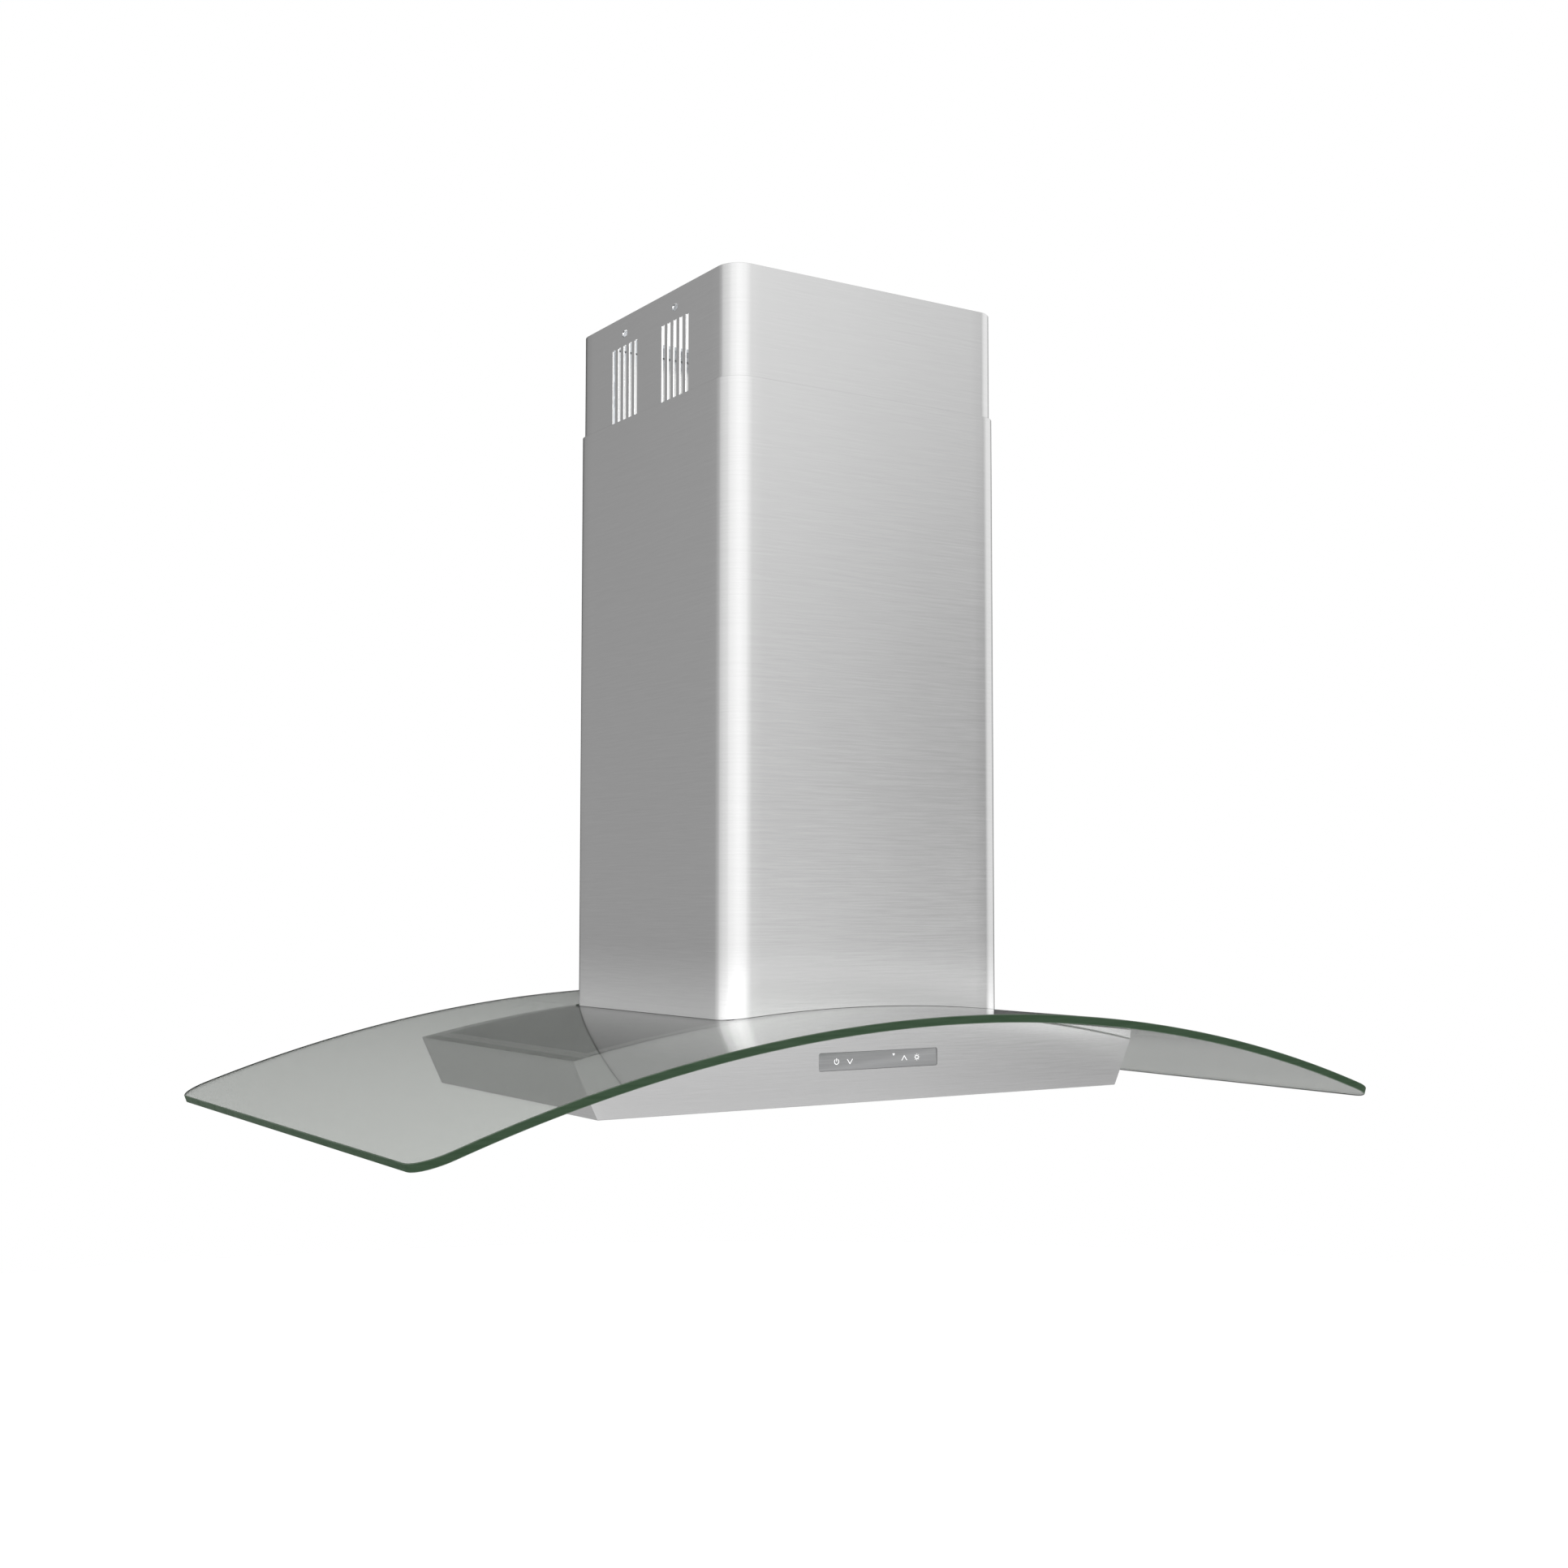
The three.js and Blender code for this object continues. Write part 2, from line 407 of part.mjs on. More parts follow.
// ---------------------------------------------------------------- outlet collar and damper
{
  const z0 = BOX_Z1 + GAP;
  let c = box(-88, -88, z0, 88, 88, z0 + 1.5).add(cyl('z', COLLAR_R, z0, COLLAR_TOP, 0, 0, 32));
  c = c.subtract(cyl('z', COLLAR_R - COLLAR_T, z0 - 5, COLLAR_TOP + 5, 0, 0, 32));
  // ledge that the flaps rest on, and bosses for the damper rod
  c = c.add(cyl('z', COLLAR_R - 0.5, FLAP_Z - 5, FLAP_Z - 3.5, 0, 0, 32).subtract(cyl('z', COLLAR_R - 5.5, FLAP_Z - 9, FLAP_Z, 0, 0, 32)));
  for (const s of [-1, 1]) {
    c = c.add(box(-5, s > 0 ? 67 : -73.5, FLAP_Z - 5, 5, s > 0 ? 73.5 : -67, FLAP_Z + 5));
  }
  c = c.subtract(cyl('y', 2.4, -71.6, 71.6, 0, FLAP_Z, 12));
  put('duct_collar', c, zinc());
  put('damper_rod', cyl('y', 2, -71.2, 71.2, 0, FLAP_Z, 12), steel(0xc8cacc, 0.25));
  // two half-moon flaps whose curled knuckles interleave on one rod
  const rf = COLLAR_R - COLLAR_T - 1.2;
  const knuckles = { left: [[-60, -40], [-10, 8], [42, 60]], right: [[-38, -12], [10, 40]] };
  for (const side of ['left', 'right']) {
    const s = side === 'left' ? -1 : 1;
    let f = cyl('z', rf, FLAP_Z - 3, FLAP_Z - 2, 0, 0, 32)
      .intersect(s < 0 ? box(-100, -100, 0, -4.6, 100, 500) : box(4.6, -100, 0, 100, 100, 500));
    // leave room beside the bosses
    f = f.subtract(box(-8, 62, 300, 8, 80, 350)).subtract(box(-8, -80, 300, 8, -62, 350));
    for (const [a, b] of knuckles[side]) {
      f = f.add(cyl('y', 3.6, a, b, 0, FLAP_Z, 12)).add(s < 0 ? box(-9, a, FLAP_Z - 3, -2.4, b, FLAP_Z - 2) : box(2.4, a, FLAP_Z - 3, 9, b, FLAP_Z - 2));
    }
    f = f.subtract(cyl('y', 2.4, -90, 90, 0, FLAP_Z, 12));
    put('damper_flap_' + side, f, zinc());
  }
}

// ---------------------------------------------------------------- electrics
{
  // junction box on the blower box's lid, behind the collar, lid on top, gland for the supply
  const x0 = 92, x1 = 130, y0 = -60, y1 = 60, z0 = BOX_Z1 + GAP, z1 = z0 + 34;
  let j = box(x0, y0, z0, x1, y1, z1).subtract(box(x0 + 1.5, y0 + 1.5, z0 + 1.5, x1 - 1.5, y1 - 1.5, z1 + 5));
  j = j.subtract(cyl('y', 8.3, y1 - 5, y1 + 5, (x0 + x1) / 2, z0 + 17, 20));
  put('junction_box', j, zinc());
  let lid = box(x0 - 1, y0 - 1, z1 + GAP, x1 + 1, y1 + 1, z1 + GAP + 1.2).add(box(x0 + 3, y0 + 3, z1 - 3, x0 + 5, y1 - 3, z1 + 1));
  put('junction_box_lid', lid, zinc());
  let g = cyl('y', 8, y1 - 7, y1 + 6, (x0 + x1) / 2, z0 + 17, 20).add(cyl('y', 11, y1 + GAP, y1 + 9, (x0 + x1) / 2, z0 + 17, 6)).add(cyl('y', 9.5, y1 + 8, y1 + 20, (x0 + x1) / 2, z0 + 17, 20, 7.5));
  g = g.subtract(cyl('y', 4, y1 - 20, y1 + 40, (x0 + x1) / 2, z0 + 17, 16));
  put('supply_gland', g, plastic(0x222325, 0.5));
}
{
  // lamp driver inside the body, under the tray
  let d = box(-60, 134, 22, 60, 164, 44).add(box(-70, 136, 22, 70, 162, 24));
  put('lamp_driver', d, plastic(0xd9dad7, 0.5));
}

// ---------------------------------------------------------------- lamps
{
  let n = 1;
  for (const [sx, sy] of Object.values(CORNERS)) {
    const x = sx * LAMP_X, y = sy * LAMP_Y;
    // bezel flange below the panel, can above it, spring collar
    const prof = [V2(19.4, -0.7), V2(26.5, -0.7), V2(27.2, 0), V2(27.2, LEAF_Z - GAP), V2(23.6, LEAF_Z - GAP), V2(23.6, 17), V2(17, 21), V2(0, 21), V2(0, 18.5), V2(15, 18.5), V2(19.4, 14), V2(19.4, -0.7)];
    const g = new THREE.LatheGeometry(prof, 24);
    g.rotateX(Math.PI / 2); g.translate(x, y, 0);
    put('lamp_housing_' + n, solid(g), steel(0xc0c2c4, 0.3));
    const l = new THREE.LatheGeometry([V2(0, 0.2), V2(18.2, 0.2), V2(19, 0.8), V2(19, 2.6), V2(0, 2.6)], 20);
    l.rotateX(Math.PI / 2); l.translate(x, y, 0);
    put('lamp_lens_' + n, solid(l), new THREE.MeshStandardMaterial({ color: 0xf3f3ee, roughness: 0.4, metalness: 0 }));
    n++;
  }
}

// ---------------------------------------------------------------- baffle filters and latches
for (const side of ['left', 'right']) {
  const s = side === 'left' ? -1 : 1;
  const x0 = s > 0 ? FILT_X0 : -FILT_X1, x1 = s > 0 ? FILT_X1 : -FILT_X0;
  const y0 = -FILT_Y, y1 = FILT_Y, z0 = 0.9, z1 = z0 + FILT_T;
  let f = box(x0, y0, z0, x1, y1, z1).subtract(box(x0 + 13, y0 + 24, z0 - 5, x1 - 13, y1 - 13, z1 + 5));
  // channel in the border
  f = f.subtract(box(x0 + 1.2, y0 + 25.2, z0 + 1.2, x1 - 1.2, y1 - 1.2, z1 - 1.2));
  // two rows of channels, facing each other, with the air path between them
  const inX0 = x0 + 13, inX1 = x1 - 13, n = 7, pitch = (inX1 - inX0) / n;
  for (let i = 0; i < n; i++) {
    const c = inX0 + pitch * (i + 0.5);
    const lo = z0 + 0.25, hi = z1 - 0.25;
    const u = [V2(c - 9.2, lo + 5.5), V2(c - 9.2, lo), V2(c + 9.2, lo), V2(c + 9.2, lo + 5.5), V2(c + 8.2, lo + 5.5), V2(c + 8.2, lo + 1.6), V2(c - 8.2, lo + 1.6), V2(c - 8.2, lo + 5.5)];
    f = f.add(extrudeY(u, y0 + 22, y1 - 9));
    if (i < n - 1) {
      const k = c + pitch / 2;
      const d = [V2(k - 9.2, hi - 5.7), V2(k - 8.2, hi - 5.7), V2(k - 8.2, hi - 1.6), V2(k + 8.2, hi - 1.6), V2(k + 8.2, hi - 5.7), V2(k + 9.2, hi - 5.7), V2(k + 9.2, hi), V2(k - 9.2, hi)];
      f = f.add(extrudeY(d, y0 + 22, y1 - 9));
    }
  }
  // finger recess in the front border, with a slot through it for the latch
  const c = (x0 + x1) / 2;
  f = f.subtract(box(c - 24, y0 + 4, z0 - 5, c + 24, y0 + 20, z0 + 4));
  f = f.subtract(box(c - 7.3, y0 - 5, z0 + 3.5, c + 7.3, y0 + 20, z0 + 8.3));
  put('baffle_filter_' + side, f, steel(0xbfc1c3, 0.3));
  // latch: bolt through the front border, with a finger pad in the recess
  let L = box(c - 7, y0 - 0.5, z0 + 4.3, c + 7, y0 + 13, z0 + 8);
  L = L.add(box(c - 7, y0 + 9, z0 + 1, c + 7, y0 + 13, z0 + 8)).add(box(c - 12, y0 + 9, z0 + 0.4, c + 12, y0 + 13, z0 + 3.1));
  put('filter_latch_' + side, L, steel(0xc8cacc, 0.25));
}

// ---------------------------------------------------------------- clamp bolts of the posts
for (const [k, [sx, sy]] of Object.entries(CORNERS)) {
  const x = sx * CLAMP_X;
  const yo = UPOST.y + 0.4, yi = LPOST.y - LPOST.t - 0.4;
  // head outside the upper angle, nut inside the lower angle
  let b = cyl('y', 2.9, Math.min(sy * (yo + 3), sy * (yi - 8)), Math.max(sy * (yo + 3), sy * (yi - 8)), x, CLAMP_Z, 12)
    .add(cyl('y', 5.2, Math.min(sy * yo, sy * (yo + 3.6)), Math.max(sy * yo, sy * (yo + 3.6)), x, CLAMP_Z, 16))
    .add(cyl('y', 5.6, Math.min(sy * yi, sy * (yi - 5)), Math.max(sy * yi, sy * (yi - 5)), x, CLAMP_Z, 6));
  put('clamp_bolt_' + k, b, steel(0xc4c6c8, 0.3));
}

export default root;
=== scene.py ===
import bpy, bmesh, math
from mathutils import Vector, Matrix

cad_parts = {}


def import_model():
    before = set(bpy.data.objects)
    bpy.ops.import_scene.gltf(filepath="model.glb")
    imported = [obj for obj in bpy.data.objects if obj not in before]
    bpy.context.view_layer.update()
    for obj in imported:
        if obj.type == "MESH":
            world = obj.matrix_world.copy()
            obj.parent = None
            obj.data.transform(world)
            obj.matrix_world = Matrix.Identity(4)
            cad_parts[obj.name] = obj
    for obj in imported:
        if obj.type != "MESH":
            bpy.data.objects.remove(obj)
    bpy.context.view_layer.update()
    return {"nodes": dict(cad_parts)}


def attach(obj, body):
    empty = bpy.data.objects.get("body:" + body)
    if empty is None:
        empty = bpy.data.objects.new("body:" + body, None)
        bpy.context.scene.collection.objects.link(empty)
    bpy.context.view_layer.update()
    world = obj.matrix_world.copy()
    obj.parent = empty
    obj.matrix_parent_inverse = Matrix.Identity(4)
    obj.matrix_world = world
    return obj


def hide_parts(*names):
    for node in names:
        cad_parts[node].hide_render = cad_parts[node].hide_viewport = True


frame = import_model()
nodes = frame["nodes"]
scene = bpy.context.scene
TOP = 0.7994                       # height of the ceiling face above the body's underside
mm = 0.001


def W(x, y, z):
    """millimetres from the body's underside to the row frame"""
    return Vector((x * mm, y * mm, z * mm - TOP))


# ------------------------------------------------------------------ camera
cam = bpy.data.cameras.new("camera")
cam_ob = bpy.data.objects.new("camera", cam)
scene.collection.objects.link(cam_ob)
yaw, pitch, roll = math.radians(32.8209), math.radians(3.4575), math.radians(0.0401)
d = Vector((math.sin(yaw) * math.cos(pitch), math.cos(yaw) * math.cos(pitch), math.sin(pitch)))
r = d.cross(Vector((0, 0, 1))).normalized()
u = r.cross(d)
r2 = r * math.cos(roll) + u * math.sin(roll)
u2 = u * math.cos(roll) - r * math.sin(roll)
M = Matrix((r2, u2, -d)).transposed().to_4x4()
M.translation = W(-1081.08, -1678.51, 193.79)
cam_ob.matrix_world = M
cam.sensor_width = 36.0
cam.lens = 36.0 * 2351.8 / 1932.0
cam.clip_start, cam.clip_end = 0.05, 60
scene.camera = cam_ob
scene.view_settings.view_transform = "Standard"
scene.view_settings.look = "None"


# ------------------------------------------------------------------ node helpers
class N:
    """a small hand for building node trees"""

    def __init__(self, name):
        self.mat = bpy.data.materials.new(name)
        self.mat.use_nodes = True
        self.t = self.mat.node_tree
        self.t.nodes.clear()
        self.out = self.t.nodes.new("ShaderNodeOutputMaterial")
        self.p = self.t.nodes.new("ShaderNodeBsdfPrincipled")
        self.t.links.new(self.p.outputs[0], self.out.inputs[0])
        self.co = self.t.nodes.new("ShaderNodeTexCoord").outputs["Object"]

    def new(self, kind, **kw):
        n = self.t.nodes.new(kind)
        for k, v in kw.items():
            setattr(n, k, v)
        return n

    def link(self, a, b):
        self.t.links.new(a, b)

    def scaled(self, s, loc=(0, 0, 0)):
        m = self.new("ShaderNodeMapping")
        m.inputs["Scale"].default_value = s
        m.inputs["Location"].default_value = loc
        self.link(self.co, m.inputs["Vector"])
        return m.outputs[0]

    def noise(self, vec, scale=1.0, detail=3.0, rough=0.5):
        n = self.new("ShaderNodeTexNoise")
        n.inputs["Scale"].default_value = scale
        n.inputs["Detail"].default_value = detail
        n.inputs["Roughness"].default_value = rough
        self.link(vec, n.inputs["Vector"])
        return n.outputs["Fac"]

    def remap(self, fac, a, b, c, d2, clamp=True):
        m = self.new("ShaderNodeMapRange")
        m.clamp = clamp
        for i, v in zip((1, 2, 3, 4), (a, b, c, d2)):
            m.inputs[i].default_value = v
        self.link(fac, m.inputs[0])
        return m.outputs[0]

    def math(self, op, a, b=None):
        m = self.new("ShaderNodeMath", operation=op)
        for i, v in enumerate((a, b)):
            if v is None:
                continue
            if isinstance(v, (int, float)):
                m.inputs[i].default_value = v
            else:
                self.link(v, m.inputs[i])
        return m.outputs[0]

    def ramp(self, fac, stops):
        c = self.new("ShaderNodeValToRGB")
        e = c.color_ramp.elements
        while len(e) < len(stops):
            e.new(0.5)
        for el, (pos, col) in zip(e, stops):
            el.position = pos
            el.color = (*col, 1) if len(col) == 3 else col
        self.link(fac, c.inputs[0])
        return c.outputs[0]

    def bump(self, height, strength, distance, normal=None):
        b = self.new("ShaderNodeBump")
        b.inputs["Strength"].default_value = strength
        b.inputs["Distance"].default_value = distance
        self.link(height, b.inputs["Height"])
        if normal is not None:
            self.link(normal, b.inputs["Normal"])
        return b.outputs[0]

    def set(self, **kw):
        for k, v in kw.items():
            s = self.p.inputs[k.replace("_", " ")]
            if hasattr(v, "links") or isinstance(v, bpy.types.NodeSocket):
                self.link(v, s)
            else:
                s.default_value = v
        return self


def brushed(name, lo, hi, rlo, rhi, along="xy", smudge=0.03, grain=0.10, aniso=0.0, foot=None):
    """stainless sheet with a long fine grain; along names the directions that the grain runs in"""
    n = N(name)
    fine = {"xy": (22, 22, 1900), "x": (18, 1700, 1700), "y": (1700, 18, 1700)}[along]
    coarse = {"xy": (3, 3, 420), "x": (3, 380, 380), "y": (380, 3, 380)}[along]
    a = n.noise(n.scaled(fine), 1.0, 2.0, 0.6)
    b = n.noise(n.scaled(coarse, (3.1, 1.7, 0.4)), 1.0, 3.0, 0.55)
    g = n.math("ADD", n.math("MULTIPLY", a, 0.9), n.math("MULTIPLY", b, 0.1))
    if aniso:
        tan = n.new("ShaderNodeTangent", direction_type="RADIAL", axis="Z")
        n.set(Anisotropic=aniso, Anisotropic_Rotation=0.25, Tangent=tan.outputs[0])
    cloud = n.noise(n.scaled((7, 7, 5)), 1.0, 4.0, 0.6)
    prints = n.noise(n.scaled((38, 38, 30), (9, 2, 5)), 1.0, 5.0, 0.6)
    mid = [(x + y) / 2 for x, y in zip(lo, hi)]
    steel = n.ramp(g, [(0.30, lo), (0.5, mid), (0.70, hi)])
    if foot:
        # painted light: the base colour is lifted towards one height, standing in for light bounced off the glass:
        # (height where it starts, height where it is full, gain)
        sp = n.new("ShaderNodeSeparateXYZ")
        n.link(n.co, sp.inputs[0])
        f = n.remap(sp.outputs[2], foot[0] * mm - TOP, foot[1] * mm - TOP, 0.0, 1.0)
        painted_bounce_gain = n.math("ADD", n.math("MULTIPLY", n.math("POWER", f, 1.35), foot[2]), 1.0)
        sc = n.new("ShaderNodeVectorMath", operation="SCALE")
        n.link(steel, sc.inputs[0])
        n.link(painted_bounce_gain, sc.inputs["Scale"])
        steel = sc.outputs[0]
    n.set(Base_Color=steel, Metallic=1.0)
    rough = n.remap(g, 0.35, 0.65, rlo, rhi)
    rough = n.math("ADD", rough, n.remap(cloud, 0.35, 0.7, -smudge, smudge))
    rough = n.math("ADD", rough, n.remap(prints, 0.55, 0.75, 0.0, smudge))
    n.set(Roughness=rough, Normal=n.bump(g, grain, 0.0004))
    return n.mat


def galvanised(name, lo, hi, scale=55):
    n = N(name)
    v = n.new("ShaderNodeTexVoronoi")
    v.inputs["Scale"].default_value = scale
    warp = n.noise(n.co, 22.0, 2.0)
    mv = n.new("ShaderNodeVectorMath", operation="ADD")
    sc = n.new("ShaderNodeVectorMath", operation="SCALE")
    sc.inputs["Scale"].default_value = 0.02
    nz = n.new("ShaderNodeTexNoise")
    nz.inputs["Scale"].default_value = 30
    n.link(n.co, nz.inputs["Vector"])
    n.link(nz.outputs["Color"], sc.inputs[0])
    n.link(n.co, mv.inputs[0])
    n.link(sc.outputs[0], mv.inputs[1])
    n.link(mv.outputs[0], v.inputs["Vector"])
    sep = n.new("ShaderNodeSeparateColor")
    n.link(v.outputs["Color"], sep.inputs[0])
    cell = sep.outputs[0]
    mid = [(x + y) / 2 for x, y in zip(lo, hi)]
    n.set(Base_Color=n.ramp(cell, [(0.1, lo), (0.55, mid), (0.95, hi)]), Metallic=0.9)
    n.set(Roughness=n.math("ADD", n.remap(cell, 0, 1, 0.34, 0.52), n.remap(warp, 0.3, 0.7, -0.04, 0.05)))
    n.set(Normal=n.bump(n.noise(n.co, 160.0, 3.0), 0.10, 0.0005))
    return n.mat


def plastic(name, lo, hi, rlo=0.42, rhi=0.6, grain=420.0, strength=0.12):
    n = N(name)
    c = n.noise(n.co, 14.0, 4.0)
    g = n.noise(n.co, grain, 2.0)
    n.set(Base_Color=n.ramp(c, [(0.3, lo), (0.7, hi)]), Metallic=0.0)
    n.set(Roughness=n.remap(n.noise(n.co, 30.0, 3.0), 0.3, 0.7, rlo, rhi), Normal=n.bump(g, strength, 0.0003))
    return n.mat


def machined(name, col, rlo=0.16, rhi=0.3):
    n = N(name)
    g = n.noise(n.scaled((900, 900, 120)), 1.0, 2.0)
    lo = [c * 0.9 for c in col]
    n.set(Base_Color=n.ramp(g, [(0.3, lo), (0.7, col)]), Metallic=1.0)
    n.set(Roughness=n.remap(n.noise(n.co, 40.0, 3.0), 0.3, 0.7, rlo, rhi), Normal=n.bump(g, 0.06, 0.0002))
    return n.mat


STEEL = brushed("stainless_brushed", (0.600, 0.600, 0.600), (0.640, 0.640, 0.640), 0.20, 0.24, smudge=0.012, grain=0.06, aniso=0.6)
# the lower cover's copy of the stainless, its foot lightened: painted bounce light from the glass
STEEL_LOWER_PAINTED_BOUNCE = brushed("stainless_lower_painted_bounce", (0.600, 0.600, 0.600), (0.640, 0.640, 0.640), 0.20, 0.24, smudge=0.012, grain=0.06, aniso=0.6, foot=(152, 86, 0.50))
# the body's copy of the same stainless, darker all over: painted shade; its upper part lifted again towards the glass:
# painted bounce light
STEEL_BODY_PAINTED_SHADE = brushed("stainless_body_painted_shade", (0.455, 0.455, 0.456), (0.492, 0.492, 0.493), 0.21, 0.26, smudge=0.012, grain=0.06, aniso=0.5, foot=(12, 58, 0.17))
# dark matt grey on the body's top face under the glass stands in for the shade there: painted shade
BODY_TOP_PAINTED_SHADE = plastic("body_top_painted_shade", (0.22, 0.222, 0.22), (0.25, 0.252, 0.25), 0.5, 0.62, 300.0, 0.1)
STEEL_UNDER = brushed("stainless_underside", (0.50, 0.502, 0.505), (0.63, 0.632, 0.635), 0.24, 0.34, along="x")
STEEL_FILTER = brushed("stainless_filter", (0.52, 0.522, 0.526), (0.68, 0.682, 0.685), 0.16, 0.27, along="y", grain=0.16)
ZINC = galvanised("galvanised_sheet", (0.40, 0.42, 0.44), (0.62, 0.64, 0.66))
BOLT = machined("bright_zinc", (0.74, 0.74, 0.72))
BEZEL = machined("satin_bezel", (0.72, 0.725, 0.73), 0.2, 0.32)
BLACK = plastic("black_moulding", (0.018, 0.018, 0.020), (0.030, 0.030, 0.033))
SCROLL = plastic("volute_moulding", (0.045, 0.047, 0.050), (0.075, 0.078, 0.082), 0.4, 0.58)
MOTOR = plastic("motor_enamel", (0.10, 0.11, 0.12), (0.16, 0.17, 0.185), 0.3, 0.5, 240.0, 0.25)
WHITE = plastic("white_moulding", (0.70, 0.70, 0.68), (0.80, 0.80, 0.785), 0.35, 0.5)
# pale grey silicone, lifted lighter to cancel the shade in the gap between glass and body flange: partly its own
# colour, partly painted light
SILICONE_PAINTED_LIGHT = plastic("bonding_silicone_painted_light", (0.52, 0.52, 0.52), (0.60, 0.60, 0.60), 0.5, 0.7, 300.0, 0.2)


def board():
    n = N("circuit_board")
    w = n.new("ShaderNodeTexBrick")
    w.inputs["Scale"].default_value = 160
    w.inputs["Color1"].default_value = (0.015, 0.12, 0.045, 1)
    w.inputs["Color2"].default_value = (0.02, 0.15, 0.06, 1)
    w.inputs["Mortar"].default_value = (0.05, 0.30, 0.13, 1)
    n.link(n.co, w.inputs["Vector"])
    n.set(Base_Color=w.outputs[0], Roughness=n.remap(n.noise(n.co, 200.0), 0.3, 0.7, 0.3, 0.45))
    return n.mat


BOARD = board()


def glass_mat():
    n = N("float_glass")
    n.set(Base_Color=(0.645, 0.667, 0.640, 1), Transmission_Weight=1.0, IOR=1.5)
    film = n.noise(n.scaled((9, 9, 9)), 1.0, 5.0, 0.6)
    n.set(Roughness=n.remap(film, 0.45, 0.8, 0.0, 0.008))
    return n.mat


def edge_mat(name, lo, hi, r0, r1):
    n = N(name)
    g = n.noise(n.scaled((30, 30, 420)), 1.0, 3.0)
    n.set(Base_Color=n.ramp(g, [(0.35, lo), (0.65, hi)]), Roughness=n.remap(n.noise(n.co, 90.0, 3.0), 0.3, 0.7, r0, r1), IOR=1.5, Specular_IOR_Level=0.008)
    n.set(Normal=n.bump(n.noise(n.scaled((60, 60, 900)), 1.0, 2.0), 0.05, 0.0002))
    return n.mat


GLASS = glass_mat()
EDGE = edge_mat("glass_edge", (0.033, 0.059, 0.034), (0.041, 0.069, 0.042), 0.22, 0.36)
ARRIS = edge_mat("glass_arris", (0.085, 0.115, 0.085), (0.12, 0.15, 0.12), 0.3, 0.45)


def strip_mat():
    n = N("control_strip_face")
    g = n.noise(n.scaled((5, 5, 1500)), 1.0, 2.0)
    n.set(Base_Color=n.ramp(g, [(0.3, (0.305, 0.308, 0.312)), (0.7, (0.375, 0.378, 0.382))]), Metallic=1.0)
    n.set(Roughness=n.remap(g, 0.3, 0.7, 0.30, 0.38), Normal=n.bump(g, 0.05, 0.0002))
    return n.mat


def lit(name, col, e, strength):
    n = N(name)
    n.set(Base_Color=n.ramp(n.noise(n.co, 260.0, 2.0), [(0.3, [c * 0.95 for c in col]), (0.7, col)]), Roughness=n.remap(n.noise(n.co, 120.0), 0.3, 0.7, 0.3, 0.45))
    n.p.inputs["Emission Color"].default_value = (*e, 1)
    n.p.inputs["Emission Strength"].default_value = strength
    return n.mat


STRIP = strip_mat()
ICON = lit("symbol_white", (0.93, 0.93, 0.93), (1, 1, 1), 0.55)
LENS = lit("lamp_frosted", (0.90, 0.90, 0.87), (1.0, 0.97, 0.92), 0.35)


# ------------------------------------------------------------------ mesh helpers
def obj(name, verts, faces, mats, idx=None, smooth=None):
    me = bpy.data.meshes.new(name)
    me.from_pydata([tuple(v) for v in verts], [], faces)
    for m in mats:
        me.materials.append(m)
    if idx:
        for p, i in zip(me.polygons, idx):
            p.material_index = i
    bm = bmesh.new()
    bm.from_mesh(me)
    bmesh.ops.remove_doubles(bm, verts=bm.verts, dist=1e-7)
    bmesh.ops.recalc_face_normals(bm, faces=bm.faces)
    bm.to_mesh(me)
    bm.free()
    if smooth is not None:
        for p in me.polygons:
            p.use_smooth = True
        me.set_sharp_from_angle(angle=math.radians(smooth))
    o = bpy.data.objects.new(name, me)
    scene.collection.objects.link(o)
    return o


def apply_mods(o, smooth=None):
    dg = bpy.context.evaluated_depsgraph_get()
    e = o.evaluated_get(dg)
    me = bpy.data.meshes.new_from_object(e)
    o.modifiers.clear()
    old = o.data
    o.data = me
    bpy.data.meshes.remove(old)
    if smooth is not None:
        for p in me.polygons:
            p.use_smooth = True
        me.set_sharp_from_angle(angle=math.radians(smooth))
    return o


def cut(o, cutter):
    m = o.modifiers.new("cut", "BOOLEAN")
    m.operation = "DIFFERENCE"
    m.solver = "EXACT"
    m.object = cutter
    bpy.context.view_layer.update()
    apply_mods(o)
    me = cutter.data
    bpy.data.objects.remove(cutter)
    bpy.data.meshes.remove(me)


def bevel(o, width, seg=2, angle=30):
    b = o.modifiers.new("b", "BEVEL")
    b.width, b.segments, b.limit_method, b.angle_limit = width, seg, "ANGLE", math.radians(angle)
    b.harden_normals = False
    return o


def rounded(hx, hy, rad, seg):
    """outline of a rounded rectangle, anticlockwise, with seg steps in each corner"""
    p = []
    for cx, cy, q in ((hx - rad, hy - rad, 0), (-(hx - rad), hy - rad, 1), (-(hx - rad), -(hy - rad), 2), (hx - rad, -(hy - rad), 3)):
        for i in range(seg + 1):
            t = (q + i / seg) * math.pi / 2
            p.append((cx + rad * math.cos(t), cy + rad * math.sin(t)))
    return p


def put(o, body, slot, *old):
    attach(o, body)
    if old:
        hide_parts(*old)
    return o


# ------------------------------------------------------------------ glass canopy
GR, GA, GT, GX, GY, GC = 1522.7, 90.2, 7.7, 532.5, 324.0, 29.0
CX, CY, CR = 160.8, 158.8, 4.0


def gz(x, off=0.0):
    return GA - GR + math.sqrt((GR - off) ** 2 - x * x)


def on_glass(x, y, depth):
    a = math.asin(x / GR)
    return W((GR - depth) * math.sin(a), y, GA - GR + (GR - depth) * math.cos(a))


